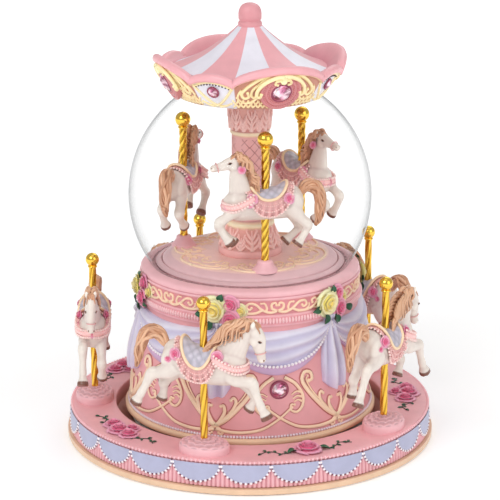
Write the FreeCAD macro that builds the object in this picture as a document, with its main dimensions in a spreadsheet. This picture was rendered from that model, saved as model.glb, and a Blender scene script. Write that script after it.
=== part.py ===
import FreeCAD, Part
import math
import os
import re
import Sketcher
from fcgear import fcgear, involute

# A carousel music box: horses on a turning platform round a drum, and smaller
# horses that turn the other way on a deck under a glass globe with a canopy.
# Millimetres, Z up, origin at the middle of the resting face, front towards -Y.

Vector = FreeCAD.Vector
doc = FreeCAD.newDocument("CarouselMusicBox")
os.makedirs("parts", exist_ok=True)

# Driving sizes, each written once
SIZES = {
    "felt_thickness": 0.6,
    "felt_width": 14.0,
    "rim_radius": 76.75,
    "rim_height": 2.2,
    "rim_inset": 1.2,
    "running_gap": 0.3,
    "skirt_height": 10.5,
    "platform_radius": 74.9,
    "skirt_flare": 0.6,
    "skirt_wall": 2.2,
    "deck_thickness": 2.2,
    "well_gap": 3.8,
    "well_wall": 2.0,
    "glide_radius": 64.0,
    "glide_width": 4.0,
    "glide_height": 1.0,
    "glide_lip": 2.6,
    "boss_length": 20.4,
    "boss_width": 15.8,
    "boss_height": 3.2,
    "boss_crown": 2.1,
    "deck_rose_radius": 3.6,
    "deck_bud_radius": 2.8,
    "deck_bud_angle": 6.5,
    "outer_horses": 5,
    "outer_pole_circle": 65.2,
    "outer_first_angle": -16.0,
    "outer_pole_radius": 1.5,
    "outer_pole_length": 60.2,
    "pole_foot": 0.5,
    "outer_ball_radius": 2.8,
    "outer_horse_lift": 27.9,
    "outer_horse_wave": 5.2,
    "glue_gap": 0.05,
    "recess_radius": 24.0,
    "recess_wall": 2.0,
    "recess_depth": 7.2,
    "recess_ceiling": 1.6,
    "plate_radius": 49.4,
    "plate_thickness": 2.0,
    "plate_screws": 4,
    "plate_screw_circle": 20.0,
    "plate_screw_radius": 1.2,
    "screw_head_height": 1.2,
    "screw_head_share": 1.8,
    "gear_module": 0.8,
    "backlash_shift": 0.06,
    "pressure_angle": 20.0,
    "ring_addendum": 0.8,
    "ring_teeth": 110,
    "drive_pinion_teeth": 20,
    "drive_wheel_teeth": 25,
    "ring_gear_lift": 1.2,
    "ring_gear_height": 3.0,
    "wheel_lift": 1.0,
    "wheel_height": 2.5,
    "drive_shaft_radius": 1.5,
    "shaft_fit": 0.03,
    "arbor_radius": 2.0,
    "barrel_radius": 14.0,
    "barrel_wall": 1.2,
    "barrel_height": 10.1,
    "lid_thickness": 1.5,
    "spring_turns": 7,
    "spring_strip": 0.35,
    "crown_module": 0.75,
    "crown_teeth": 30,
    "crown_face": 2.4,
    "crown_root": 0.95,
    "crown_tip": 0.4,
    "crown_tooth_share": 0.3,
    "cylinder_pinion_teeth": 10,
    "spindle_radius": 2.0,
    "spindle_grip": 14.0,
    "bedplate_radius": 43.4,
    "bedplate_lift": 1.6,
    "bedplate_thickness": 2.5,
    "bedplate_back": 6.0,
    "post_radius": 2.5,
    "post_circle": 38.0,
    "cylinder_start": 20.0,
    "cylinder_length": 16.0,
    "cylinder_radius": 6.0,
    "cylinder_arbor_radius": 0.8,
    "pin_height": 0.6,
    "pin_radius": 0.2,
    "pins_per_tooth": 3,
    "comb_teeth": 18,
    "comb_thickness": 1.0,
    "comb_tooth_length": 9.0,
    "comb_back": 6.0,
    "comb_tip_gap": 0.15,
    "comb_slit": 0.27,
    "comb_tooth_sink": 0.5,
    "comb_screw_inset": 3.5,
    "comb_screw_radius": 0.9,
    "comb_screw_depth": 3.0,
    "governor_module": 0.5,
    "governor_wheel_teeth": 40,
    "governor_pinion_teeth": 10,
    "governor_wheel_height": 1.5,
    "governor_arbor_radius": 0.7,
    "fan_radius": 5.0,
    "fan_length": 10.0,
    "fan_blade": 0.6,
    "bracket_thickness": 1.6,
    "bracket_gap": 1.2,
    "fan_gap": 3.0,
    "key_width": 31.0,
    "key_thickness": 3.0,
    "key_height": 5.8,
    "key_clearance": 0.7,
    "key_hub_radius": 3.6,
    "drum_height": 61.6,
    "drum_wall": 2.8,
    "flange_radius": 52.5,
    "flange_height": 2.4,
    "drum_foot_radius": 50.6,
    "drum_neck_radius": 45.0,
    "bead_band_height": 2.2,
    "bead_band_swell": 0.8,
    "frieze_height": 9.4,
    "rim_lip": 2.9,
    "drum_bays": 6,
    "drum_first_bay": 14.0,
    "swag_depth": 2.0,
    "swag_end_height": 4.0,
    "swag_top_sag": 4.5,
    "swag_sag": 14.0,
    "swag_end_gap": 0.9,
    "tail_depth": 3.4,
    "tail_width": 9.0,
    "tail_drop": 29.0,
    "rose_radius": 4.0,
    "rose_side_angle": 6.5,
    "rose_low_angle": 3.0,
    "rose_top_rise": 4.6,
    "rose_side_rise": 2.6,
    "rose_low_drop": 2.2,
    "rose_seat": 0.6,
    "drum_gem_radius": 3.1,
    "gem_height": 2.2,
    "gem_sink": 1.0,
    "gem_girdle": 0.9,
    "gem_taper": 0.6,
    "gem_drop": 39.8,
    "globe_radius": 50.0,
    "globe_wall": 1.8,
    "globe_mouth_radius": 39.2,
    "globe_sink": 2.0,
    "stopper_flange": 2.2,
    "stopper_plug": 2.5,
    "ledge_width": 9.0,
    "bush_radius": 5.0,
    "inner_deck_float": 0.8,
    "inner_deck_thickness": 3.0,
    "inner_horses": 3,
    "inner_pole_circle": 29.0,
    "inner_first_angle": 12.0,
    "inner_boss_radius": 5.2,
    "inner_boss_height": 2.6,
    "inner_pole_radius": 1.6,
    "inner_pole_length": 53.2,
    "inner_ball_radius": 3.2,
    "inner_horse_lift": 21.7,
    "column_plinth_radius": 13.0,
    "column_plinth_height": 14.0,
    "column_radius": 7.5,
    "column_plinth_step": 2.8,
    "column_collar_height": 2.0,
    "column_collar_depth": 2.1,
    "capital_chamfer": 1.0,
    "capital_radius": 9.3,
    "capital_height": 18.0,
    "column_gap": 2.5,
    "canopy_seat_radius": 28.0,
    "canopy_radius": 36.8,
    "canopy_large_rise": 18.0,
    "canopy_small_rise": 14.6,
    "canopy_notch_rise": 12.4,
    "canopy_large_swell": 1.8,
    "canopy_lip": 1.6,
    "canopy_edge_drop": 0.4,
    "canopy_belly": 0.4,
    "canopy_foot": 1.0,
    "canopy_trough_radius": 30.5,
    "canopy_trough_rise": 12.0,
    "canopy_apex_rise": 27.2,
    "canopy_waist_radius": 13.7,
    "canopy_waist_rise": 20.7,
    "canopy_core_radius": 4.2,
    "canopy_panels": 4,
    "canopy_large_half_angle": 30.5,
    "canopy_first_angle": 20.0,
    "canopy_gem_radius": 3.6,
    "canopy_small_gem_radius": 2.0,
    "canopy_gem_rise": 8.1,
    "canopy_small_gem_rise": 7.5,
    "canopy_gem_sink": 0.6,
    "finial_radius": 4.7,
    "finial_collar_height": 2.8,
    "finial_knob_height": 7.2,
}

sheet = doc.addObject("Spreadsheet::Sheet", "Sizes")
for row, (name, number) in enumerate(SIZES.items(), start=1):
    sheet.set(f"A{row}", name)
    sheet.set(f"B{row}", str(number))
    sheet.setAlias(f"B{row}", name)
doc.recompute()

# Levels and fits that follow from the driving sizes
DERIVED = {
    "rim_top": "felt_thickness + rim_height",
    "skirt_bottom": "rim_top + running_gap",
    "deck_top": "skirt_bottom + skirt_height",
    "well_radius": "flange_radius + well_gap",
    "glide_top": "rim_top + glide_height",
    "pivot_level": "felt_thickness + rim_height / 3",
    "ring_gear_bottom": "rim_top + ring_gear_lift",
    "ring_gear_top": "ring_gear_bottom + ring_gear_height",
    "drive_distance": "gear_module * (ring_teeth - drive_pinion_teeth) / 2",
    "great_pitch_radius": "drive_distance - gear_module * drive_wheel_teeth / 2",
    "recess_top": "felt_thickness + recess_depth",
    "cup_top": "recess_top + recess_ceiling",
    "plate_top": "cup_top + plate_thickness",
    "wheel_bottom": "plate_top + wheel_lift",
    "wheel_top": "wheel_bottom + wheel_height",
    "barrel_top": "wheel_top + barrel_height",
    "lid_top": "barrel_top + lid_thickness",
    "bedplate_bottom": "wheel_top + bedplate_lift",
    "bedplate_top": "bedplate_bottom + bedplate_thickness",
    "crown_radius": "crown_module * crown_teeth / 2",
    "cylinder_pinion_radius": "crown_module * cylinder_pinion_teeth / 2",
    "cylinder_axis": "lid_top + crown_root + cylinder_pinion_radius",
    "governor_distance": "governor_module * (governor_wheel_teeth + governor_pinion_teeth) / 2",
    "bracket_start": "cylinder_start + cylinder_length + running_gap + governor_wheel_height + bracket_gap",
    "drum_bottom": "plate_top",
    "drum_rim": "drum_bottom + drum_height",
    "frieze_bottom": "drum_rim - rim_lip * 1.5 - frieze_height",
    "mouth_level": "drum_rim - globe_sink",
    "globe_centre": "mouth_level + sqrt(globe_radius ^ 2 - globe_mouth_radius ^ 2)",
    "rim_inner_radius": "sqrt(globe_radius ^ 2 - (globe_centre - drum_rim) ^ 2) + running_gap",
    "rim_outer_radius": "rim_inner_radius + rim_lip",
    "ledge_top": "mouth_level - stopper_flange",
    "plug_radius": "sqrt((globe_radius - globe_wall) ^ 2 - (globe_centre - mouth_level) ^ 2) - running_gap",
    "inner_deck_bottom": "mouth_level + stopper_plug + inner_deck_float",
    "inner_deck_top": "inner_deck_bottom + inner_deck_thickness",
    "inner_deck_radius": "plug_radius - running_gap",
    "column_top": "globe_centre + sqrt((globe_radius - globe_wall) ^ 2 - capital_radius ^ 2) - column_gap",
    "canopy_bottom": "globe_centre + sqrt(globe_radius ^ 2 - canopy_seat_radius ^ 2)",
    "canopy_apex": "canopy_bottom + canopy_apex_rise",
}


def formula(text):
    """Expression text with each size's name led by the object that holds it."""
    def lead(match):
        word = match.group(0)
        if word in SIZES:
            return "Sizes." + word
        if word in DERIVED:
            return "Derived." + word
        return word
    return re.sub(r"[a-z][a-z_]+", lead, text)


derived = doc.addObject("App::VarSet", "Derived")
for name, text in DERIVED.items():
    derived.addProperty("App::PropertyFloat", name)
    derived.setExpression(name, formula(text))
doc.recompute()


def size(name):
    """The number that a driving or derived size has now."""
    if name in SIZES:
        return float(sheet.get(name))
    return getattr(derived, name)


# Helpers that put objects in the document
finished = []


def finish(obj, label):
    """Marks an object as a finished sub-part under its own label."""
    obj.Label = label
    finished.append(obj)
    return obj


def bind(obj, **texts):
    """Binds properties to expressions; a double underscore stands for a dot."""
    for name, text in texts.items():
        obj.setExpression(name.replace("__", "."), formula(text))
    return obj


def cylinder(name, radius, height):
    """An upright Part cylinder with its sizes bound."""
    return bind(doc.addObject("Part::Cylinder", name), Radius=radius, Height=height)


def lying_cylinder(name, radius, height):
    """A Part cylinder whose axis lies along +X."""
    obj = cylinder(name, radius, height)
    obj.Placement.Rotation = FreeCAD.Rotation(Vector(0, 1, 0), 90)
    return obj


def box(name, length, width, height):
    """A Part box with its sizes bound."""
    return bind(doc.addObject("Part::Box", name), Length=length, Width=width, Height=height)


def sphere(name, radius):
    """A Part sphere with its radius bound."""
    return bind(doc.addObject("Part::Sphere", name), Radius=radius)


def place(obj, x, y, z):
    """Binds an object's place to three expressions."""
    return bind(obj, Placement__Base__x=x, Placement__Base__y=y, Placement__Base__z=z)


def cut(name, base, tool):
    obj = doc.addObject("Part::Cut", name)
    obj.Base = base
    obj.Tool = tool
    return obj


def fuse(name, shapes):
    obj = doc.addObject("Part::MultiFuse", name)
    obj.Shapes = shapes
    return obj


def common(name, shapes):
    obj = doc.addObject("Part::MultiCommon", name)
    obj.Shapes = shapes
    return obj


def compound(name, shapes):
    obj = doc.addObject("Part::Compound", name)
    obj.Links = shapes
    return obj


def feature(name, shape):
    obj = doc.addObject("Part::Feature", name)
    obj.Shape = shape
    return obj


def origin_feature(body, role):
    """The body's own origin plane or axis with this role."""
    return next(o for o in body.Origin.OriginFeatures if o.Role == role)


def outline(body, name, plane, points):
    """A closed sketch of straight lines whose corners are bound to expressions."""
    sketch = body.newObject("Sketcher::SketchObject", name)
    sketch.AttachmentSupport = [(origin_feature(body, plane), "")]
    sketch.MapMode = "FlatFace"
    count = len(points)
    spots = [Vector(10 * math.cos(i * math.tau / count), 10 * math.sin(i * math.tau / count), 0)
             for i in range(count)]
    for i in range(count):
        sketch.addGeometry(Part.LineSegment(spots[i], spots[(i + 1) % count]))
    for i in range(count):
        sketch.addConstraint(Sketcher.Constraint("Coincident", i, 2, (i + 1) % count, 1))
    for i, (across, up) in enumerate(points):
        for kind, text in (("DistanceX", across), ("DistanceY", up)):
            index = sketch.addConstraint(Sketcher.Constraint(kind, -1, 1, i, 1, 1.0))
            sketch.setExpression(f"Constraints[{index}]", formula(text))
    return sketch


def turned(name, points):
    """A body made by turning a profile of (radius, height) corners about Z."""
    body = doc.addObject("PartDesign::Body", name)
    sketch = outline(body, name + "_profile", "XZ_Plane", points)
    turn = body.newObject("PartDesign::Revolution", name + "_turn")
    turn.Profile = sketch
    turn.ReferenceAxis = (origin_feature(body, "Z_Axis"), [""])
    turn.Angle = 360
    return body


def padded(name, points, bottom, height):
    """A body made by padding an outline of (x, y) corners upwards from a level."""
    body = doc.addObject("PartDesign::Body", name)
    sketch = outline(body, name + "_outline", "XY_Plane", points)
    bind(sketch, AttachmentOffset__Base__z=bottom)
    pad = body.newObject("PartDesign::Pad", name + "_pad")
    pad.Profile = sketch
    bind(pad, Length=height)
    return body


def round_about(angle):
    """The turn about Z that carries the front, -Y, to an angle towards +X."""
    return FreeCAD.Rotation(Vector(0, 0, 1), angle)


def spot(radius, angle, level):
    """The point at a radius and level, at an angle from the front towards +X."""
    return round_about(angle).multVec(Vector(0, -radius, level))


def set_round(obj, radius, angle, level, spin=0.0):
    """Places an object at a radius and angle, turned to face round the circle."""
    obj.Placement = FreeCAD.Placement(spot(radius, angle, level), round_about(angle + spin))
    return obj


# Base: felt ring, plinth with its key recess, and the glide ring the platform runs on
felt = turned("felt", [
    ("rim_radius - rim_inset - felt_width", "0"),
    ("rim_radius - rim_inset", "0"),
    ("rim_radius - rim_inset", "felt_thickness"),
    ("rim_radius - rim_inset - felt_width", "felt_thickness"),
])
finish(felt, "felt_ring")

plinth = turned("plinth", [
    ("recess_radius", "felt_thickness"),
    ("rim_radius", "felt_thickness"),
    ("rim_radius", "rim_top"),
    ("recess_radius + recess_wall", "rim_top"),
    ("recess_radius + recess_wall", "cup_top"),
    ("arbor_radius + shaft_fit", "cup_top"),
    ("arbor_radius + shaft_fit", "recess_top"),
    ("recess_radius", "recess_top"),
])
pivot_hole = place(cylinder("pivot_hole", "drive_shaft_radius + shaft_fit", "rim_height"),
                   "-drive_distance", "0", "pivot_level")
screw_count = int(size("plate_screws"))
screw_angles = [45.0 + 360.0 * i / screw_count for i in range(screw_count)]
screw_holes = []
for i, angle in enumerate(screw_angles):
    hole = cylinder(f"plate_hole_{i}", "plate_screw_radius + shaft_fit", "plate_top")
    screw_holes.append(set_round(hole, size("plate_screw_circle"), angle, 0.0))
plinth_tools = fuse("plinth_tools", [pivot_hole] + screw_holes)
finish(cut("plinth_cut", plinth, plinth_tools), "base_plinth")

glide = turned("glide", [
    ("glide_radius - running_gap - glide_height", "rim_top"),
    ("glide_radius + glide_width", "rim_top"),
    ("glide_radius + glide_width", "glide_top"),
    ("glide_radius - running_gap", "glide_top"),
    ("glide_radius - running_gap", "glide_top + glide_lip"),
    ("glide_radius - running_gap - glide_height", "glide_top + glide_lip"),
])
finish(glide, "glide_ring")

# Mechanism plate on the recess cup, with the screws that hold it from below
plate = place(cylinder("plate_disc", "plate_radius", "plate_thickness"), "0", "0", "cup_top")
arbor_hole = cylinder("plate_arbor_hole", "arbor_radius + shaft_fit", "plate_top")
drive_hole = place(cylinder("plate_drive_hole", "drive_shaft_radius + shaft_fit", "plate_top"),
                   "-drive_distance", "0", "0")
plate_tools = fuse("plate_tools", [arbor_hole, drive_hole] + screw_holes)
finish(cut("plate_cut", plate, plate_tools), "mechanism_plate")

screws = []
for i, angle in enumerate(screw_angles):
    shank = cylinder(f"plate_shank_{i}", "plate_screw_radius",
                     "recess_ceiling + plate_thickness + screw_head_height")
    head = cylinder(f"plate_head_{i}", "plate_screw_radius * screw_head_share", "screw_head_height")
    for piece in (shank, head):
        set_round(piece, size("plate_screw_circle"), angle, size("recess_top") - size("screw_head_height"))
    screws.append(fuse(f"plate_screw_{i}", [shank, head]))
finish(compound("plate_screw_set", screws), "plate_screws")


# Gears: involute outlines whose teeth are thinned by a small profile shift for backlash
def gear_outline(teeth, module, inside=False):
    """An involute gear outline with a tooth centred on +X."""
    shift = size("backlash_shift")
    pressure = size("pressure_angle")
    builder = fcgear.FCWireBuilder()
    if inside:
        involute.CreateInternalGear(builder, module, teeth, pressure, addCoeff=size("ring_addendum"),
                                    shiftCoeff=shift)
    else:
        involute.CreateExternalGear(builder, module, teeth, pressure, shiftCoeff=-shift)
    return Part.Wire([curve.toShape() for curve in builder.wire])


def gear(teeth, module, height, bore):
    """An external gear standing on the XY plane, with a round bore."""
    disc = Part.Face(gear_outline(int(teeth), module)).extrude(Vector(0, 0, height))
    return disc.cut(Part.makeCylinder(bore, height))


fit = size("shaft_fit")
module = size("gear_module")
ring_height = size("ring_gear_height")
ring_disc = Part.makeCylinder(size("well_radius") + size("well_wall"), ring_height)
ring_teeth = int(size("ring_teeth"))
ring_outline = gear_outline(ring_teeth, module, inside=True)
ring_outline.rotate(Vector(), Vector(0, 0, 1), 180.0 / ring_teeth)
ring_hollow = Part.Face(ring_outline).extrude(Vector(0, 0, ring_height))
ring_gear = feature("ring_gear_shape", ring_disc.cut(ring_hollow))
ring_gear.Placement.Base = Vector(0, 0, size("ring_gear_bottom"))
finish(ring_gear, "ring_gear")

drive_shaft = cylinder("drive_shaft_rod", "drive_shaft_radius", "wheel_top + wheel_lift - pivot_level")
finish(place(drive_shaft, "-drive_distance", "0", "pivot_level"), "drive_shaft")
drive_bore = size("drive_shaft_radius") + fit
pinion_shape = gear(size("drive_pinion_teeth"), module, ring_height, drive_bore)
drive_pinion = feature("drive_pinion_shape", pinion_shape)
drive_pinion.Placement.Base = Vector(-size("drive_distance"), 0, size("ring_gear_bottom"))
finish(drive_pinion, "drive_pinion")
wheel_height = size("wheel_height")
wheel_shape = gear(size("drive_wheel_teeth"), module, wheel_height, drive_bore)
drive_wheel = feature("drive_wheel_shape", wheel_shape)
drive_wheel.Placement.Base = Vector(-size("drive_distance"), 0, size("wheel_bottom"))
finish(drive_wheel, "drive_wheel")
arbor_bore = size("arbor_radius") + fit
great_teeth = round(2 * size("great_pitch_radius") / module)
great_wheel = feature("great_wheel_shape", gear(great_teeth, module, wheel_height, arbor_bore))
great_wheel.Placement.Base = Vector(0, 0, size("wheel_bottom"))
finish(great_wheel, "great_wheel")

# Spring barrel on the great wheel, its spring, and its toothed lid
barrel = turned("barrel", [
    ("arbor_radius + shaft_fit", "wheel_top"),
    ("barrel_radius", "wheel_top"),
    ("barrel_radius", "barrel_top"),
    ("barrel_radius - barrel_wall", "barrel_top"),
    ("barrel_radius - barrel_wall", "wheel_top + barrel_wall"),
    ("arbor_radius + shaft_fit", "wheel_top + barrel_wall"),
])
finish(barrel, "spring_barrel")


def spiral(start, end, turns, points_per_turn=16):
    """A flat spiral curve from a start radius out to an end radius."""
    count = int(turns * points_per_turn)
    points = []
    for i in range(count + 1):
        angle = math.tau * turns * i / count
        radius = start + (end - start) * i / count
        points.append(Vector(radius * math.cos(angle), radius * math.sin(angle), 0))
    curve = Part.BSplineCurve()
    curve.interpolate(points)
    return curve.toShape()


strip = size("spring_strip")
spring_inside = size("arbor_radius") + 2 * strip
spring_outside = size("barrel_radius") - size("barrel_wall") - 2 * strip
inner_edge = spiral(spring_inside, spring_outside, size("spring_turns"))
outer_edge = spiral(spring_inside + strip, spring_outside + strip, size("spring_turns"))
ends = [Part.makeLine(inner_edge.Vertexes[i].Point, outer_edge.Vertexes[i].Point) for i in (0, -1)]
spring_face = Part.Face(Part.Wire(Part.sortEdges([inner_edge, ends[1], outer_edge, ends[0]])[0]))
spring_height = size("barrel_height") - size("barrel_wall") - 2 * strip
mainspring = feature("mainspring_shape", spring_face.extrude(Vector(0, 0, spring_height)))
mainspring.Placement.Base = Vector(0, 0, size("wheel_top") + size("barrel_wall"))
finish(mainspring, "mainspring")


def crown_tooth():
    """One upright tooth of the crown gear on +X, narrowing upwards and inwards."""
    root, tip = 0.0, size("crown_root") + size("crown_tip")
    pitch_angle = math.tau / size("crown_teeth")
    sections = []
    slope = math.tan(math.radians(size("pressure_angle")))
    for side in (-1, 1):
        radius = size("crown_radius") + side * size("crown_face") / 2
        middle = size("crown_tooth_share") * pitch_angle * radius / 2
        foot = middle + size("crown_root") * slope
        top = middle - size("crown_tip") * slope
        corners = [Vector(radius, -foot, root), Vector(radius, foot, root),
                   Vector(radius, top, tip), Vector(radius, -top, tip)]
        sections.append(Part.makePolygon(corners + corners[:1]))
    return Part.makeLoft(sections, True, True)


spindle_bore = size("spindle_radius") + fit
lid_disc = Part.makeCylinder(size("barrel_radius"), size("lid_thickness"))
tooth = crown_tooth()
crown_teeth = int(size("crown_teeth"))
lid_teeth = []
for i in range(crown_teeth):
    copy = tooth.copy()
    copy.rotate(Vector(), Vector(0, 0, 1), 360.0 * (i + 0.5) / crown_teeth)
    copy.translate(Vector(0, 0, size("lid_thickness")))
    lid_teeth.append(copy)
lid_shape = lid_disc.fuse(lid_teeth).cut(Part.makeCylinder(spindle_bore, 2 * size("lid_thickness")))
crown_lid = feature("crown_lid_shape", lid_shape)
crown_lid.Placement.Base = Vector(0, 0, size("barrel_top"))
finish(crown_lid, "crown_lid")
spindle_rod = cylinder("spindle_rod", "spindle_radius", "inner_deck_top + spindle_grip - barrel_top")
finish(place(spindle_rod, "0", "0", "barrel_top"), "spindle")

# Winding arbor and key
arbor_rod = cylinder("arbor_rod", "arbor_radius", "barrel_top - running_gap - felt_thickness - key_clearance")
finish(place(arbor_rod, "0", "0", "felt_thickness + key_clearance"), "winding_arbor")
key_bottom = "felt_thickness + key_clearance"
key_bar = place(box("key_bar", "key_width - key_height", "key_thickness", "key_height"),
                "(key_height - key_width) / 2", "-key_thickness / 2", key_bottom)
key_ends = []
for side in (-1, 1):
    end = doc.addObject("Part::Cylinder", "key_end")
    end.Placement.Rotation = FreeCAD.Rotation(Vector(1, 0, 0), 90)
    bind(end, Radius="key_height / 2", Height="key_thickness")
    key_ends.append(place(end, f"{side} * (key_width - key_height) / 2", "key_thickness / 2",
                          key_bottom + " + key_height / 2"))
key_hub = place(cylinder("key_hub", "key_hub_radius", "key_height"), "0", "0", key_bottom)
key_solid = fuse("key_solid", [key_bar, key_hub] + key_ends)
key_hole = cylinder("key_hole", "arbor_radius + shaft_fit", "recess_top")
finish(cut("key_cut", key_solid, key_hole), "winding_key")

# Movement: bedplate on posts, pinned cylinder, comb and governor
bed_disc = place(cylinder("bed_disc", "bedplate_radius", "bedplate_thickness"), "0", "0", "bedplate_bottom")
bed_side = box("bed_side", "bedplate_radius + bedplate_back", "2 * bedplate_radius", "bedplate_thickness")
place(bed_side, "-bedplate_back", "-bedplate_radius", "bedplate_bottom")
bed_half = common("bed_half", [bed_disc, bed_side])
bed_hole = place(cylinder("bed_hole", "barrel_radius + barrel_wall", "bedplate_thickness"),
                 "0", "0", "bedplate_bottom")
finish(cut("bed_cut", bed_half, bed_hole), "bedplate")

post_angles = (5.0, 65.0, 115.0, 175.0)
posts = []
for i, angle in enumerate(post_angles):
    post = cylinder(f"bed_post_{i}", "post_radius", "bedplate_bottom - plate_top")
    posts.append(set_round(post, size("post_circle"), angle, size("plate_top")))
finish(compound("post_set", posts), "bedplate_posts")

cylinder_end = "(cylinder_start + cylinder_length)"
bracket_starts = {
    "cylinder": ("barrel_radius + barrel_wall + bracket_thickness / 2", "bracket_start"),
    "governor": ("cylinder_start + running_gap", "bracket_start"),
}
axle_radius = {"cylinder": "cylinder_arbor_radius", "governor": "governor_arbor_radius"}
axle_side = {"cylinder": "0", "governor": "governor_distance"}
for name, starts in bracket_starts.items():
    half_width = "(2 * " + axle_radius[name] + " + bracket_thickness / 2)"
    uprights = []
    for i, start in enumerate(starts):
        upright = box(f"{name}_upright_{i}", "bracket_thickness", "2 * " + half_width,
                      "cylinder_axis + 2 * bracket_thickness - bedplate_top")
        place(upright, start, axle_side[name] + " - " + half_width, "bedplate_top")
        hole = lying_cylinder(f"{name}_hole_{i}", axle_radius[name] + " + shaft_fit", "bracket_thickness")
        place(hole, start, axle_side[name], "cylinder_axis")
        uprights.append(cut(f"{name}_bearing_{i}", upright, hole))
    finish(compound(f"{name}_upright_set", uprights), f"{name}_brackets")

arbor_start = "crown_radius - crown_face / 2 - running_gap"
arbor_end = "bracket_start + bracket_thickness + running_gap"
cylinder_arbor = lying_cylinder("cylinder_rod", "cylinder_arbor_radius", f"{arbor_end} - ({arbor_start})")
finish(place(cylinder_arbor, arbor_start, "0", "cylinder_axis"), "cylinder_arbor")

along_x = FreeCAD.Rotation(Vector(0, 1, 0), 90)
axis_level = size("cylinder_axis")
cylinder_bore = size("cylinder_arbor_radius") + fit
pinion_shape = gear(size("cylinder_pinion_teeth"), size("crown_module"), size("crown_face"), cylinder_bore)
cylinder_pinion = feature("cylinder_pinion_shape", pinion_shape)
pinion_start = size("crown_radius") - size("crown_face") / 2
cylinder_pinion.Placement = FreeCAD.Placement(Vector(pinion_start, 0, axis_level), along_x)
finish(cylinder_pinion, "cylinder_pinion")

# A tune of this many beats: each pin falls on a beat spread evenly by two primes
PIN_BEATS = 53
pin_rows = int(size("comb_teeth"))
tooth_pitch = size("cylinder_length") / pin_rows
drum_of_pins = Part.makeCylinder(size("cylinder_radius"), size("cylinder_length"))
pins = []
for row in range(pin_rows):
    for turn in range(int(size("pins_per_tooth"))):
        pin = Part.makeCylinder(size("pin_radius"), size("cylinder_radius") + size("pin_height"))
        pin.rotate(Vector(), Vector(0, 1, 0), 90)
        pin.rotate(Vector(), Vector(0, 0, 1), 360.0 * ((row * 7 + turn * 17) % PIN_BEATS + 0.5) / PIN_BEATS)
        pin.translate(Vector(0, 0, (row + 0.5) * tooth_pitch))
        pins.append(pin)
pinned = drum_of_pins.fuse(pins).cut(Part.makeCylinder(cylinder_bore, size("cylinder_length")))
music_cylinder = feature("music_cylinder_shape", pinned)
music_cylinder.Placement = FreeCAD.Placement(Vector(size("cylinder_start"), 0, axis_level), along_x)
finish(music_cylinder, "music_cylinder")

governor_module = size("governor_module")
governor_height = size("governor_wheel_height")
governor_start = size("cylinder_start") + size("cylinder_length") + size("running_gap")
cylinder_wheel = feature("cylinder_wheel_shape", gear(size("governor_wheel_teeth"), governor_module,
                                                      governor_height, cylinder_bore))
cylinder_wheel.Placement = FreeCAD.Placement(Vector(governor_start, 0, axis_level), along_x)
finish(cylinder_wheel, "cylinder_wheel")

governor_bore = size("governor_arbor_radius") + fit
governor_spot = Vector(governor_start, size("governor_distance"), axis_level)
governor_pinion = feature("governor_pinion_shape", gear(size("governor_pinion_teeth"), governor_module,
                                                        governor_height, governor_bore))
governor_pinion.Placement = FreeCAD.Placement(governor_spot, along_x)
finish(governor_pinion, "governor_pinion")
governor_rod = lying_cylinder("governor_rod", "governor_arbor_radius",
                              "bracket_start + bracket_thickness - cylinder_start - running_gap")
place(governor_rod, "cylinder_start + running_gap", "governor_distance", "cylinder_axis")
finish(governor_rod, "governor_arbor")
fan_start = "cylinder_start + running_gap + bracket_thickness + fan_gap"
fan_hub = place(lying_cylinder("fan_hub", "2 * governor_arbor_radius", "fan_length"),
                fan_start, "governor_distance", "cylinder_axis")
fan_vane = place(box("fan_vane", "fan_length", "2 * fan_radius", "fan_blade"),
                 fan_start, "governor_distance - fan_radius", "cylinder_axis - fan_blade / 2")
fan_hole = place(lying_cylinder("fan_hole", "governor_arbor_radius + shaft_fit", "fan_length"),
                 fan_start, "governor_distance", "cylinder_axis")
finish(cut("fan_cut", fuse("fan_solid", [fan_hub, fan_vane]), fan_hole), "governor_fan")

comb_tip = "(cylinder_radius + pin_height + comb_tip_gap)"
comb_root = f"({comb_tip} + comb_tooth_length)"
comb_bottom = "cylinder_axis - comb_thickness / 2"
tooth_step = "cylinder_length / comb_teeth"
comb = padded("comb_steel", [
    ("cylinder_start", f"-{comb_root} - comb_back"),
    (cylinder_end, f"-{comb_root} - comb_back"),
    (cylinder_end, f"-{comb_root}"),
    ("cylinder_start", f"-{comb_root}"),
], comb_bottom, "comb_thickness")
tooth_sketch = outline(comb, "comb_tooth_outline", "XY_Plane", [
    ("cylinder_start + comb_slit / 2", f"-{comb_root} - comb_tooth_sink"),
    (f"cylinder_start + {tooth_step} - comb_slit / 2", f"-{comb_root} - comb_tooth_sink"),
    (f"cylinder_start + {tooth_step} - comb_slit / 2", f"-{comb_tip}"),
    ("cylinder_start + comb_slit / 2", f"-{comb_tip}"),
])
bind(tooth_sketch, AttachmentOffset__Base__z=comb_bottom)
tooth_pad = comb.newObject("PartDesign::Pad", "comb_tooth_pad")
tooth_pad.Profile = tooth_sketch
bind(tooth_pad, Length="comb_thickness")
tooth_row = comb.newObject("PartDesign::LinearPattern", "comb_tooth_row")
tooth_row.Originals = [tooth_pad]
tooth_row.Direction = (origin_feature(comb, "X_Axis"), [""])
bind(tooth_row, Length=f"cylinder_length - {tooth_step}", Occurrences="comb_teeth")
comb.Tip = tooth_row

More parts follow.
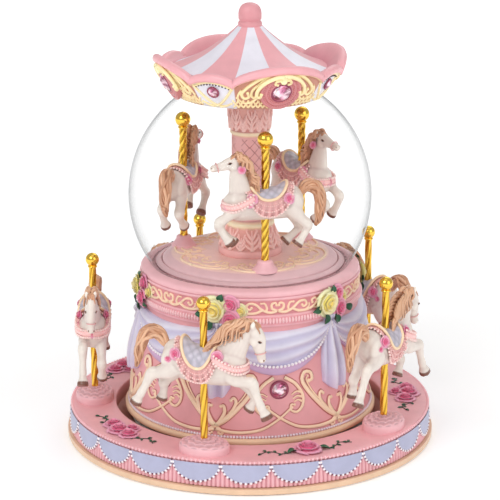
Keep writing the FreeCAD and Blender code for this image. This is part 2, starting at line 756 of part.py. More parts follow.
comb_screw_holes = []
comb_screws = []
screw_spots = ("cylinder_start + comb_screw_inset", f"{cylinder_end} - comb_screw_inset")
for i, screw_spot in enumerate(screw_spots):
    middle = (screw_spot, f"-{comb_root} - comb_back / 2")
    shank = cylinder(f"comb_shank_{i}", "comb_screw_radius", "comb_thickness + comb_screw_depth")
    place(shank, *middle, "cylinder_axis + comb_thickness / 2 - comb_thickness - comb_screw_depth")
    head = cylinder(f"comb_head_{i}", "comb_screw_radius * screw_head_share", "screw_head_height")
    place(head, *middle, "cylinder_axis + comb_thickness / 2")
    comb_screws.append(fuse(f"comb_screw_{i}", [shank, head]))
    hole = cylinder(f"comb_hole_{i}", "comb_screw_radius + shaft_fit",
                    "2 * comb_thickness + comb_screw_depth")
    comb_screw_holes.append(place(hole, *middle, "cylinder_axis - comb_thickness / 2 - comb_screw_depth"))
comb_drill = fuse("comb_drill", comb_screw_holes)
finish(cut("comb_cut", comb, comb_drill), "comb")
finish(compound("comb_screw_set", comb_screws), "comb_screws")
block = box("comb_block_box", "cylinder_length", "comb_back", comb_bottom + " - bedplate_top")
place(block, "cylinder_start", f"-{comb_root} - comb_back", "bedplate_top")
finish(cut("comb_block_cut", block, comb_drill), "comb_block")


# Platform: deck with skirt and bosses, ring of poles
def ring_wire(centre, across, along, points=12):
    """A closed smooth oval about a centre, from its two half axes as vectors."""
    spots = []
    for i in range(points):
        angle = math.tau * i / points
        spots.append(centre + across * math.cos(angle) + along * math.sin(angle))
    curve = Part.BSplineCurve()
    curve.interpolate(spots, PeriodicFlag=True)
    return Part.Wire([curve.toShape()])


def mound(length, width, height, crown):
    """An oval mound: straight sides, then a crown that narrows to the pole."""
    shoulder, shoulder_share, top_share = 0.6, 0.72, 0.4
    levels = ((0.0, 1.0), (height, 1.0), (height + crown * shoulder, shoulder_share),
              (height + crown, top_share))
    wires = [ring_wire(Vector(0, 0, level), Vector(length / 2 * share, 0, 0), Vector(0, width / 2 * share, 0))
             for level, share in levels]
    return Part.makeLoft(wires, True, True)


deck = turned("deck", [
    ("platform_radius + skirt_flare", "skirt_bottom"),
    ("platform_radius", "deck_top"),
    ("well_radius", "deck_top"),
    ("well_radius", "ring_gear_top"),
    ("well_radius + well_wall", "ring_gear_top"),
    ("well_radius + well_wall", "deck_top - deck_thickness"),
    ("glide_radius", "deck_top - deck_thickness"),
    ("glide_radius", "glide_top"),
    ("glide_radius + glide_width - glide_height", "glide_top"),
    ("glide_radius + glide_width - glide_height", "deck_top - deck_thickness"),
    ("platform_radius - skirt_wall", "deck_top - deck_thickness"),
    ("platform_radius + skirt_flare - skirt_wall", "skirt_bottom"),
])
outer_count = int(size("outer_horses"))
outer_angles = [size("outer_first_angle") + 360.0 * i / outer_count for i in range(outer_count)]
boss_shape = mound(size("boss_length"), size("boss_width"), size("boss_height"), size("boss_crown"))
deck_tops = []
deck_holes = []
for i, angle in enumerate(outer_angles):
    boss = feature(f"boss_{i}", boss_shape)
    deck_tops.append(set_round(boss, size("outer_pole_circle"), angle, size("deck_top")))
    hole = cylinder(f"boss_hole_{i}", "outer_pole_radius + glue_gap", "outer_pole_length")
    deck_holes.append(set_round(hole, size("outer_pole_circle"), angle, size("deck_top") + size("pole_foot")))
    spray = angle + 180.0 / outer_count
    bud_turn = size("deck_bud_angle")
    for k, (turn, radius) in enumerate(((0.0, "deck_rose_radius"), (-bud_turn, "deck_bud_radius"),
                                        (bud_turn, "deck_bud_radius"))):
        rose = sphere(f"deck_rose_{i}_{k}", radius)
        deck_tops.append(set_round(rose, size("outer_pole_circle"), spray + turn, size("deck_top")))
deck_whole = fuse("deck_whole", [deck] + deck_tops)
finish(cut("deck_cut", deck_whole, fuse("deck_drill", deck_holes)), "platform")


def pole(name, radius, length, ball):
    """A pole with a ball on its top end."""
    rod = cylinder(name + "_rod", radius, length)
    knob = place(sphere(name + "_ball", ball), "0", "0", length)
    return fuse(name + "_whole", [rod, knob])


for i, angle in enumerate(outer_angles):
    rod = pole(f"outer_pole_{i}", "outer_pole_radius", "outer_pole_length", "outer_ball_radius")
    set_round(rod, size("outer_pole_circle"), angle, size("deck_top") + size("pole_foot"))
    finish(rod, f"outer_pole_{i + 1}")


# Horses, lofted limb by limb and bored for their poles
def limb(sections):
    """A solid lofted through ovals set square to the path of their centres.

    A section is (forward, side, up, half width, half depth)."""
    centres = [Vector(*section[:3]) for section in sections]
    last = len(centres) - 1
    wires = []
    for i, section in enumerate(sections):
        heading = centres[min(i + 1, last)] - centres[max(i - 1, 0)]
        across = Vector(0, 1, 0)
        along = heading.cross(across).normalize()
        wires.append(ring_wire(centres[i], across * section[3], along * section[4]))
    return Part.makeLoft(wires, True, False)


def horse(limbs, pole_radius):
    """One solid of all the limbs, with an upright hole for the pole."""
    solids = [limb(sections) for sections in limbs]
    whole = solids[0].fuse(solids[1:])
    bounds = whole.BoundBox
    hole = Part.makeCylinder(pole_radius + size("glue_gap"), bounds.ZLength, Vector(0, 0, bounds.ZMin))
    return whole.cut(hole)


# Forward, side, up, half width and half depth in millimetres from the pole at belly height
OUTER_HORSE = [
    # Body
    [(-16.0, 0, 10.0, 2.2, 3.0), (-14.8, 0, 10.0, 4.4, 6.0), (-11.5, 0, 10.0, 5.8, 7.6),
     (-5, 0, 7.6, 6.0, 7.4), (2, 0, 7.0, 5.8, 7.0), (9, 0, 7.6, 6.0, 7.6),
     (14, 0, 8.5, 5.2, 7.0), (16.8, 0, 9.0, 2.6, 3.6)],
    # Neck
    [(8.0, 0, 8.5, 3.8, 6.5), (11.4, 0, 14.0, 3.6, 6.0), (14.2, 0, 19.0, 2.9, 4.8), (17.6, 0, 22.6, 2.4, 3.6),
     (20.2, 0, 23.8, 1.9, 2.6)],
    # Head
    [(19.2, 0, 25.2, 1.9, 2.0), (21.0, 0, 22.8, 2.5, 3.2), (22.1, 0, 18.8, 2.3, 3.0),
     (22.9, 0, 14.8, 1.8, 2.2), (23.4, 0, 12.2, 1.6, 1.8), (23.6, 0, 11.2, 1.0, 1.2)],
    # Ears
    [(20.0, 1.4, 24.9, 0.8, 0.7), (20.6, 1.7, 27.2, 0.2, 0.2)],
    [(20.0, -1.4, 24.9, 0.8, 0.7), (20.6, -1.7, 27.2, 0.2, 0.2)],
    # Mane and tail
    [(6.4, 0, 15.0, 1.5, 2.0), (8.6, 0, 20.2, 1.9, 2.6), (12.6, 0, 24.6, 1.8, 2.4),
     (17.4, 0, 26.2, 1.4, 1.6)],
    [(-14.2, 0, 15.2, 1.4, 1.6), (-17.4, 0, 19.6, 1.9, 2.0), (-21.5, 0, 20.6, 2.3, 2.3),
     (-25.4, 0, 16.6, 2.5, 2.4), (-27.4, 0, 10.5, 2.0, 1.9), (-28.6, 0, 5.0, 0.7, 0.7)],
    # Saddle
    [(-9.4, 0, 9.2, 5.4, 8.2), (-8.0, 0, 9.4, 6.4, 8.8), (-3, 0, 7.6, 6.7, 7.4), (3, 0, 7.2, 6.6, 7.4),
     (6.4, 0, 7.6, 6.4, 8.6), (7.4, 0, 7.6, 5.6, 8.0)],
    # Near fore leg, far fore leg
    [(11.0, -3.0, 6.0, 2.8, 3.6), (16.0, -3.6, 3.4, 2.1, 2.5), (21.0, -3.8, 3.6, 1.6, 1.9),
     (22.8, -3.8, -1.5, 1.3, 1.4), (24.6, -3.8, -6.5, 1.25, 1.3), (26.0, -3.8, -9.2, 1.7, 1.7),
     (27.0, -3.8, -11.0, 1.8, 1.9)],
    [(11.5, 3.0, 4.5, 2.8, 3.4), (15.5, 3.6, -0.6, 2.0, 2.3), (19.6, 3.8, -4.2, 1.6, 1.7),
     (18.9, 3.8, -7.2, 1.25, 1.3), (17.8, 3.8, -9.2, 1.6, 1.6), (16.8, 3.8, -10.8, 1.7, 1.8)],
    # Near hind leg, far hind leg
    [(-10.5, -2.6, 7.5, 3.4, 4.6), (-15.2, -3.4, 4.2, 2.7, 3.2), (-20.0, -3.8, 4.0, 1.7, 2.0),
     (-22.8, -3.8, -1.0, 1.3, 1.4), (-25.0, -3.8, -5.4, 1.25, 1.3), (-26.4, -3.8, -8.0, 1.7, 1.7),
     (-27.2, -3.8, -9.8, 1.8, 1.9)],
    [(-11.0, 2.6, 6.5, 3.4, 4.4), (-14.2, 3.4, 1.4, 2.5, 3.0), (-17.6, 3.8, -2.2, 1.7, 1.8),
     (-17.6, 3.8, -5.6, 1.3, 1.3), (-18.2, 3.8, -8.0, 1.6, 1.6), (-18.8, 3.8, -10.0, 1.8, 1.8)],
]
INNER_HORSE = [
    # Body
    [(-15.0, 0, 6.6, 2.0, 2.8), (-13.6, 0, 6.6, 4.0, 5.0), (-10.5, 0, 6.4, 5.0, 6.4), (-4, 0, 5.6, 5.2, 6.0),
     (3, 0, 5.4, 5.2, 5.8), (10, 0, 6.0, 5.4, 6.4), (14.2, 0, 6.6, 4.6, 5.6), (16.7, 0, 7.0, 2.2, 3.0)],
    # Neck
    [(8.4, 0, 7.5, 3.4, 6.0), (10.2, 0, 13.0, 3.2, 5.0), (11.0, 0, 18.0, 2.6, 3.8), (11.6, 0, 22.0, 2.2, 3.0),
     (12.0, 0, 24.0, 1.7, 2.0)],
    # Head
    [(10.2, 0, 23.4, 1.7, 1.8), (12.6, 0, 23.2, 2.3, 2.7), (16.2, 0, 22.4, 2.0, 2.3),
     (19.4, 0, 21.6, 1.6, 1.7), (21.2, 0, 21.2, 1.5, 1.6), (22.0, 0, 21.0, 0.9, 1.0)],
    # Ears
    [(11.3, 1.3, 24.2, 0.7, 0.7), (11.5, 1.6, 26.4, 0.2, 0.2)],
    [(11.3, -1.3, 24.2, 0.7, 0.7), (11.5, -1.6, 26.4, 0.2, 0.2)],
    # Mane and tail
    [(5.4, 0, 11.6, 1.4, 1.8), (6.6, 0, 16.0, 1.8, 2.2), (7.8, 0, 20.4, 1.8, 2.1),
     (9.8, 0, 24.0, 1.3, 1.4)],
    [(-13.4, 0, 10.0, 1.3, 1.5), (-16.6, 0, 12.6, 1.7, 1.8), (-20.0, 0, 11.4, 2.0, 2.0),
     (-22.2, 0, 6.4, 2.0, 2.0), (-22.4, 0, 0.5, 1.6, 1.6), (-21.4, 0, -3.6, 0.6, 0.6)],
    # Saddle
    [(-8.4, 0, 6.8, 4.8, 6.6), (-7.0, 0, 7.0, 5.6, 7.2), (-2.5, 0, 5.6, 5.9, 6.0), (3, 0, 5.4, 5.9, 6.0),
     (6.2, 0, 5.8, 5.7, 7.2), (7.2, 0, 5.8, 5.0, 6.6)],
    # Near fore leg, far fore leg
    [(10.8, -2.6, 4.4, 2.4, 3.2), (15.2, -3.2, 0.0, 1.8, 2.1), (18.0, -3.4, -3.4, 1.5, 1.6),
     (15.8, -3.4, -6.6, 1.2, 1.2), (13.0, -3.4, -9.2, 1.5, 1.5), (11.4, -3.4, -10.8, 1.6, 1.7)],
    [(10.8, 2.6, 5.4, 2.4, 3.2), (15.8, 3.2, 2.4, 1.8, 2.1), (19.2, 3.4, 0.0, 1.5, 1.6),
     (17.8, 3.4, -4.0, 1.2, 1.2), (15.6, 3.4, -7.2, 1.5, 1.5), (14.2, 3.4, -8.8, 1.6, 1.7)],
    # Near hind leg, far hind leg
    [(-10.0, -2.4, 5.0, 2.8, 4.0), (-11.8, -3.0, -0.6, 2.1, 2.6), (-14.8, -3.4, -4.4, 1.6, 1.7),
     (-12.6, -3.4, -7.6, 1.2, 1.3), (-10.0, -3.4, -9.8, 1.5, 1.5), (-8.4, -3.4, -11.2, 1.6, 1.7)],
    [(-10.0, 2.4, 5.0, 2.8, 4.0), (-12.6, 3.0, 0.4, 2.1, 2.6), (-16.4, 3.4, -2.6, 1.6, 1.7),
     (-15.2, 3.4, -6.4, 1.2, 1.3), (-13.2, 3.4, -9.2, 1.5, 1.5), (-12.0, 3.4, -10.8, 1.6, 1.7)],
]
outer_shape = horse(OUTER_HORSE, size("outer_pole_radius"))
for i, angle in enumerate(outer_angles):
    # The horses follow one wave round the ring, highest at the front and lowest at the back
    sink = size("outer_horse_wave") * (1 - math.cos(math.radians(angle))) / 2
    mount = feature(f"outer_horse_shape_{i}", outer_shape)
    set_round(mount, size("outer_pole_circle"), angle, size("deck_top") + size("outer_horse_lift") - sink)
    finish(mount, f"outer_horse_{i + 1}")

# Drum: a turned shell with swags, tails, rose clusters and gem seats
drum_profile = [
    ("drum_foot_radius - drum_wall", "drum_bottom"),
    ("flange_radius", "drum_bottom"),
    ("flange_radius", "drum_bottom + flange_height"),
    ("drum_foot_radius", "drum_bottom + flange_height"),
    ("drum_neck_radius", "frieze_bottom - bead_band_height"),
    ("drum_neck_radius + bead_band_swell", "frieze_bottom - bead_band_height"),
    ("drum_neck_radius + bead_band_swell", "frieze_bottom"),
    ("drum_neck_radius", "frieze_bottom"),
    ("drum_neck_radius", "frieze_bottom + frieze_height"),
    ("rim_outer_radius", "drum_rim"),
    ("rim_inner_radius", "drum_rim"),
    ("rim_inner_radius", "ledge_top"),
    ("rim_inner_radius - ledge_width", "ledge_top"),
    ("rim_inner_radius - ledge_width", "ledge_top - drum_wall"),
    ("drum_neck_radius - drum_wall", "ledge_top - drum_wall"),
]
drum = turned("drum", drum_profile)


def sleeve(name, depth):
    """A turned sleeve that lies on the drum's wall with this depth outwards."""
    return turned(name, [
        ("drum_foot_radius - drum_wall / 2", "drum_bottom + flange_height"),
        (f"drum_foot_radius + {depth}", "drum_bottom + flange_height"),
        (f"drum_neck_radius + {depth}", "frieze_bottom"),
        ("drum_neck_radius - drum_wall / 2", "frieze_bottom"),
    ])


def slab(corners):
    """A flat shape of (across, level) corners, carried straight out through the drum's front."""
    reach = 2 * size("flange_radius")
    points = [Vector(across, 0, level) for across, level in corners]
    return Part.Face(Part.makePolygon(points + points[:1])).extrude(Vector(0, -reach, 0))


bay_count = int(size("drum_bays"))
bay_angles = [size("drum_first_bay") + 360.0 * i / bay_count for i in range(bay_count)]
swag_top = size("frieze_bottom") - size("bead_band_height")
swag_half = size("drum_neck_radius") * math.sin(math.pi / bay_count) - size("swag_end_gap")
swag_end = size("swag_end_height") / 2
SWAG_STEPS = 7
swag_shares = [k / SWAG_STEPS for k in range(-SWAG_STEPS, SWAG_STEPS + 1)]
swag_upper = [(swag_half * share, swag_top + swag_end - size("swag_top_sag") * (1 - share ** 2))
              for share in swag_shares]
swag_lower = [(swag_half * share, swag_top - swag_end - size("swag_sag") * (1 - share ** 2))
              for share in reversed(swag_shares)]
swag_corners = swag_upper + swag_lower
# A tail widens from its gathered top and has a round end: share of half its width, share of its drop
TAIL_EDGE = [(0.5, 0.0), (0.8, 0.6), (1.0, 0.82), (0.9, 0.93), (0.55, 0.985)]
tail_half = size("tail_width") / 2
tail_left = [(-tail_half * across, swag_top - size("tail_drop") * down) for across, down in TAIL_EDGE]
tail_right = [(-across, level) for across, level in reversed(tail_left)]
tail_corners = tail_left + [(0.0, swag_top - size("tail_drop"))] + tail_right
swag_slab = slab(swag_corners)
tail_slab = slab(tail_corners)
rose_circle = size("drum_neck_radius") + size("rose_seat")
rose_spots = [
    (0.0, size("rose_top_rise"), 1.0),
    (-size("rose_side_angle"), size("rose_side_rise"), 0.8),
    (size("rose_side_angle"), size("rose_side_rise"), 0.8),
    (size("rose_low_angle"), -size("rose_low_drop"), 0.7),
]
swag_slabs = []
tail_slabs = []
rose_domes = []
for i, angle in enumerate(bay_angles):
    swag = feature(f"swag_slab_{i}", swag_slab)
    swag_slabs.append(set_round(swag, 0.0, angle, 0.0))
    tail_angle = angle + 180.0 / bay_count
    tail = feature(f"tail_slab_{i}", tail_slab)
    tail_slabs.append(set_round(tail, 0.0, tail_angle, 0.0))
    for k, (turn, rise, share) in enumerate(rose_spots):
        dome = sphere(f"rose_{i}_{k}", f"rose_radius * {share}")
        rose_domes.append(set_round(dome, rose_circle, tail_angle + turn, swag_top + rise))
swags = common("swags", [sleeve("swag_sleeve", "swag_depth"), fuse("swag_slabs", swag_slabs)])
tails = common("tails", [sleeve("tail_sleeve", "tail_depth"), fuse("tail_slabs", tail_slabs)])
drum_dressed = fuse("drum_dressed", [drum, swags, tails] + rose_domes)


def gem(radius, height):
    """A gem with a straight girdle below and a facet cone above."""
    girdle_height = size("gem_girdle")
    girdle = Part.makeCylinder(radius, girdle_height)
    crown_foot = Vector(0, 0, girdle_height)
    crown = Part.makeCone(radius, radius * size("gem_taper"), height - girdle_height, crown_foot)
    return girdle.fuse(crown)


def gem_set(name, shape, radius, level, angles, tilt):
    """Copies of a gem round the axis, facing outwards and tilted down by an angle."""
    gems = []
    facing = FreeCAD.Rotation(Vector(1, 0, 0), 90 + tilt)
    for angle in angles:
        copy = shape.copy()
        copy.Placement = FreeCAD.Placement(spot(radius, angle, level), round_about(angle).multiply(facing))
        gems.append(copy)
    return feature(name, Part.makeCompound(gems))


gem_rise = size("drum_rim") - size("gem_drop")
wall_foot = size("drum_bottom") + size("flange_height")
wall_share = (gem_rise - wall_foot) / (swag_top - wall_foot)
wall_radius = size("drum_foot_radius") + (size("drum_neck_radius") - size("drum_foot_radius")) * wall_share
gem_seat_radius = wall_radius - size("gem_sink")
drum_gem = gem(size("drum_gem_radius"), size("gem_height"))
drum_seat = Part.makeCylinder(size("drum_gem_radius") + size("glue_gap"), 3 * size("gem_height"))
drum_seats = gem_set("drum_seats", drum_seat, gem_seat_radius, gem_rise, bay_angles, 0.0)
finish(cut("drum_cut", drum_dressed, drum_seats), "drum_shell")
finish(gem_set("drum_gem_set", drum_gem, gem_seat_radius, gem_rise, bay_angles, 0.0), "drum_gems")

# Globe, its stopper and the bush for the spindle
glass = cut("glass_wall", place(sphere("glass_outside", "globe_radius"), "0", "0", "globe_centre"),
            place(sphere("glass_inside", "globe_radius - globe_wall"), "0", "0", "globe_centre"))
below_mouth = place(cylinder("below_mouth", "globe_radius", "mouth_level"), "0", "0", "0")
finish(cut("glass_cut", glass, below_mouth), "globe_glass")

stopper = turned("stopper", [
    ("bush_radius + shaft_fit", "ledge_top"),
    ("rim_inner_radius - running_gap", "ledge_top"),
    ("rim_inner_radius - running_gap", "mouth_level"),
    ("plug_radius", "mouth_level"),
    ("plug_radius", "mouth_level + stopper_plug"),
    ("bush_radius + shaft_fit", "mouth_level + stopper_plug"),
])
finish(stopper, "globe_stopper")
bush = turned("bush", [
    ("spindle_radius + shaft_fit", "ledge_top"),
    ("bush_radius", "ledge_top"),
    ("bush_radius", "mouth_level + stopper_plug"),
    ("spindle_radius + shaft_fit", "mouth_level + stopper_plug"),
])
finish(bush, "spindle_bush")

# Inner deck, column, poles and horses
inner_disc = turned("inner_disc", [
    ("spindle_radius + shaft_fit", "inner_deck_bottom"),
    ("inner_deck_radius", "inner_deck_bottom"),
    ("inner_deck_radius", "inner_deck_top"),
    ("spindle_radius + shaft_fit", "inner_deck_top"),
])
inner_count = int(size("inner_horses"))
inner_angles = [size("inner_first_angle") + 360.0 * i / inner_count for i in range(inner_count)]
inner_boss_shape = mound(2 * size("inner_boss_radius"), 2 * size("inner_boss_radius"),
                         size("inner_boss_height") / 2, size("inner_boss_height") / 2)
inner_pole_level = size("inner_deck_top") + size("pole_foot")
inner_bosses = []
inner_holes = []
for i, angle in enumerate(inner_angles):
    boss = feature(f"inner_boss_{i}", inner_boss_shape)
    inner_bosses.append(set_round(boss, size("inner_pole_circle"), angle, size("inner_deck_top")))
    hole = cylinder(f"inner_hole_{i}", "inner_pole_radius + glue_gap", "inner_pole_length")
    inner_holes.append(set_round(hole, size("inner_pole_circle"), angle, inner_pole_level))
inner_whole = fuse("inner_whole", [inner_disc] + inner_bosses)
finish(cut("inner_cut", inner_whole, fuse("inner_drill", inner_holes)), "inner_deck")

grip_top = "(inner_deck_top + spindle_grip + running_gap)"
plinth_top = "(inner_deck_top + column_plinth_height)"
column = turned("column_turned", [
    ("spindle_radius + shaft_fit", "inner_deck_top"),
    ("column_plinth_radius", "inner_deck_top"),
    ("column_plinth_radius", "inner_deck_top + column_plinth_step"),
    ("column_radius + column_collar_depth", plinth_top + " - column_collar_height"),
    ("column_radius + column_collar_depth", plinth_top),
    ("column_radius", plinth_top),
    ("column_radius", "column_top - capital_height"),
    ("capital_radius", "column_top - capital_height + capital_chamfer"),
    ("capital_radius", "column_top"),
    ("0", "column_top"),
    ("0", grip_top),
    ("spindle_radius + shaft_fit", grip_top),
])
finish(column, "column")

for i, angle in enumerate(inner_angles):
    rod = pole(f"inner_pole_{i}", "inner_pole_radius", "inner_pole_length", "inner_ball_radius")
    set_round(rod, size("inner_pole_circle"), angle, inner_pole_level)
    finish(rod, f"inner_pole_{i + 1}")
inner_shape = horse(INNER_HORSE, size("inner_pole_radius"))
for i, angle in enumerate(inner_angles):
    mount = feature(f"inner_horse_shape_{i}", inner_shape)
    belly = size("inner_deck_top") + size("inner_horse_lift")
    set_round(mount, size("inner_pole_circle"), angle, belly, spin=180.0)
    finish(mount, f"inner_horse_{i + 1}")

# Canopy: one casting whose crown rises in large and small panels round a tent roof
panel_count = int(size("canopy_panels"))
large_half = size("canopy_large_half_angle")
small_half = 180.0 / panel_count - large_half


def crown_rise(share, large):
    """The crown's rise and swell at a share of a panel's half width: an arch over each panel."""
    arch = math.cos(math.pi / 2 * share) ** 0.6
    top = size("canopy_large_rise") if large else size("canopy_small_rise")
    swell = size("canopy_large_swell") * arch if large else 0.0
    return size("canopy_notch_rise") + (top - size("canopy_notch_rise")) * arch, swell


# Sections close enough together that each panel's arch comes out round
LARGE_SECTIONS = 11
SMALL_SECTIONS = 5
large_angles = [size("canopy_first_angle") + 360.0 * i / panel_count for i in range(panel_count)]
small_angles = [angle + 180.0 / panel_count for angle in large_angles]
crown_places = []
for large_angle, small_angle in zip(large_angles, small_angles):
    spans = (
        (large_angle, large_half, LARGE_SECTIONS, True),
        (small_angle, small_half, SMALL_SECTIONS, False),
    )
    for middle, half, count, large in spans:
        for i in range(count):
            share = 2.0 * i / count - 1.0
            crown_places.append((middle + half * share, share, large))
seat_radius = size("canopy_seat_radius")
core_radius = size("canopy_core_radius")
canopy_sections = []
for angle, share, large in crown_places:
    rise, swell = crown_rise(share, large)
    edge = size("canopy_radius") + swell
    belly_radius = (edge + seat_radius) / 2 + size("canopy_belly")
    profile = [
        (core_radius - size("canopy_foot"), size("canopy_apex_rise")),
        (size("canopy_waist_radius"), size("canopy_waist_rise")),
        (size("canopy_trough_radius"), size("canopy_trough_rise")),
        (edge - size("canopy_lip"), rise),
        (edge, rise - size("canopy_edge_drop")),
        (belly_radius, size("canopy_gem_rise") * rise / size("canopy_large_rise")),
        (seat_radius + size("canopy_foot"), 0.0),
        (core_radius - size("canopy_foot"), 0.0),
    ]
    corners = [spot(radius, angle, level) for radius, level in profile]
    canopy_sections.append(Part.makePolygon(corners + corners[:1]))
canopy_ring = feature("canopy_ring", Part.makeLoft(canopy_sections, True, False, True))
canopy_ring.Placement.Base = Vector(0, 0, size("canopy_bottom"))
canopy_core = cylinder("canopy_core", "canopy_core_radius", "canopy_apex_rise")
place(canopy_core, "0", "0", "canopy_bottom")
canopy_seat = place(sphere("canopy_seat", "globe_radius + glue_gap"), "0", "0", "globe_centre")
canopy_solid = cut("canopy_solid", fuse("canopy_whole", [canopy_ring, canopy_core]), canopy_seat)
large_level = size("canopy_bottom") + size("canopy_gem_rise")
small_level = size("canopy_bottom") + size("canopy_small_gem_rise")
panel_tilt = math.degrees(math.atan2(size("canopy_radius") - seat_radius, size("canopy_large_rise")))
small_seat_radius = (size("canopy_radius") + seat_radius) / 2 - size("canopy_gem_sink")
large_seat_radius = small_seat_radius + size("canopy_large_swell") / 2
large_seat = Part.makeCylinder(size("canopy_gem_radius") + size("glue_gap"), 3 * size("gem_height"))
small_seat = Part.makeCylinder(size("canopy_small_gem_radius") + size("glue_gap"), 3 * size("gem_height"))
canopy_seats = fuse("canopy_seats", [
    gem_set("large_seats", large_seat, large_seat_radius, large_level, large_angles, panel_tilt),
    gem_set("small_seats", small_seat, small_seat_radius, small_level, small_angles, panel_tilt),
])
finish(cut("canopy_cut", canopy_solid, canopy_seats), "canopy")
large_gem = gem(size("canopy_gem_radius"), size("gem_height"))
small_gem = gem(size("canopy_small_gem_radius"), size("gem_height"))
large_gems = gem_set("large_gem_set", large_gem, large_seat_radius, large_level, large_angles, panel_tilt)
finish(large_gems, "canopy_gems")
small_gems = gem_set("small_gem_set", small_gem, small_seat_radius, small_level, small_angles, panel_tilt)
finish(small_gems, "canopy_small_gems")

# Finial: a collar and a round knob, whose outline is a share of the radius at a share of the knob's height
KNOB = [(0.75, 0.0), (0.95, 0.16), (0.98, 0.43), (0.8, 0.74), (0.45, 0.93), (0.0, 1.0)]
knob_bottom = "canopy_apex + finial_collar_height"
finial_profile = [
    ("0", "canopy_apex"),
    ("finial_radius", "canopy_apex"),
    ("finial_radius", "canopy_apex + finial_collar_height * 0.7"),
]
for across, up in KNOB:
    finial_profile.append((f"finial_radius * {across}", f"{knob_bottom} + finial_knob_height * {up}"))
finial = turned("finial_turned", finial_profile)
finish(finial, "finial")

# Check every object, then write one STEP file per sub-part
doc.recompute()
for obj in doc.Objects:
    if "Invalid" in obj.State or "Error" in obj.State:
        raise RuntimeError(f"{obj.Label} did not build: {obj.State}")
for obj in finished:
    if obj.Shape.isNull() or not obj.Shape.isValid() or not obj.Shape.Solids:
        raise RuntimeError(f"{obj.Label} has no valid solid")
    obj.Shape.exportStep(os.path.join("parts", obj.Label + ".step"))
    print(obj.Label, len(obj.Shape.Solids), round(obj.Shape.Volume, 1))
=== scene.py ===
import math

import bmesh
import bpy
import numpy as np
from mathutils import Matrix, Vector


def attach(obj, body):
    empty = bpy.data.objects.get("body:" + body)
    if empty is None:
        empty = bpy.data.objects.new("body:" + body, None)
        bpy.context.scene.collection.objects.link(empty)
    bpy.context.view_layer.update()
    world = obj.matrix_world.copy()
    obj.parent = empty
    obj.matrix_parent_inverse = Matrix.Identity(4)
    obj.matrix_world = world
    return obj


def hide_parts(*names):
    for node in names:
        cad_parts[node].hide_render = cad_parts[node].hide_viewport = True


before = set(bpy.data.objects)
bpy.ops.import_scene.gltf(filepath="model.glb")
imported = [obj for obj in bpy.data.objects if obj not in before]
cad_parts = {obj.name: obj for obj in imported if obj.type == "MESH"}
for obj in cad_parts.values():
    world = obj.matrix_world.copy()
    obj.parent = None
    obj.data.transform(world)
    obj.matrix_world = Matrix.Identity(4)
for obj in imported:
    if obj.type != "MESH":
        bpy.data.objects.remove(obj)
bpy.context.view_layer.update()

# A carousel music box: painted resin castings round a clockwork, gilt poles and a blown glass globe.
# Shapes are worked out in millimetres and scaled once to metres. Angles run in degrees from the front
# (-Y) towards +X.

# The studio: a white floor that glows more away from the object, soft lamps, and a camera at the
# photograph's place, which was worked out from the ovals that the drum, platform and globe show.
MM = 0.001
CAMERA_DISTANCE = 851.8
CAMERA_ELEVATION = 15.99
CAMERA_AIM = 77.68
CAMERA_LENS = 148.2
CAMERA_SENSOR = 36.0
LAMPS = [
    # Name, azimuth, elevation, distance, size, watts
    ("key_lamp", -34.0, 40.0, 900.0, 420.0, 2.5),
    ("fill_lamp", 46.0, 24.0, 900.0, 600.0, 1.5),
    ("top_lamp", 10.0, 82.0, 800.0, 500.0, 0.35),
    ("back_lamp", 160.0, 40.0, 900.0, 500.0, 1.0),
]
WORLD_GLOW = 0.52
WHITE = (1.0, 1.0, 1.0, 1.0)
FLOOR_WHITE = (0.93, 0.93, 0.93, 1.0)
FLOOR_ROUGHNESS = 0.9
FLOOR_HALF = 4000.0
FLOOR_GLOW = {"From Min": 100.0 * MM, "From Max": 700.0 * MM, "To Min": 0.25, "To Max": 0.65}
scene = bpy.context.scene


def ring_points(radius, angle, level):
    """Points at a radius and level, turned by an angle from the front towards +X."""
    radius, angle, level = np.broadcast_arrays(radius, np.radians(angle), level)
    return np.stack([radius * np.sin(angle), -radius * np.cos(angle), level], axis=-1)


def aim(thing, azimuth, elevation, distance):
    """Puts a lamp or camera at a direction and distance from the object's middle, facing it."""
    rise = math.radians(elevation)
    place = Vector(ring_points(distance * math.cos(rise), azimuth, CAMERA_AIM + distance * math.sin(rise)))
    thing.location = place * MM
    thing.rotation_euler = (Vector((0.0, 0.0, CAMERA_AIM)) - place).to_track_quat("-Z", "Y").to_euler()
    scene.collection.objects.link(thing)


def fill(tree, node, inputs):
    """Sets a node's inputs, each to a value or to another node's output."""
    for name, value in inputs.items():
        if isinstance(value, bpy.types.NodeSocket):
            tree.links.new(value, node.inputs[name])
        else:
            node.inputs[name].default_value = value


def added(tree, kind, output, inputs, **settings):
    """An output of a new shader node, from its kind, inputs and settings."""
    node = tree.nodes.new("ShaderNode" + kind)
    for name, value in settings.items():
        setattr(node, name, value)
    fill(tree, node, inputs)
    return node.outputs[output]


def blank_material(name):
    """A new material and its tree of nodes."""
    material = bpy.data.materials.new(name)
    material.use_nodes = True
    return material, material.node_tree


camera_data = bpy.data.cameras.new("camera")
camera_data.lens = CAMERA_LENS
camera_data.sensor_width = CAMERA_SENSOR
camera = bpy.data.objects.new("camera", camera_data)
aim(camera, 0.0, CAMERA_ELEVATION, CAMERA_DISTANCE)
scene.camera = camera

for lamp_name, azimuth, elevation, distance, lamp_size, watts in LAMPS:
    lamp_data = bpy.data.lights.new(lamp_name, "AREA")
    lamp_data.size = lamp_size * MM
    lamp_data.energy = watts
    aim(bpy.data.objects.new(lamp_name, lamp_data), azimuth, elevation, distance)

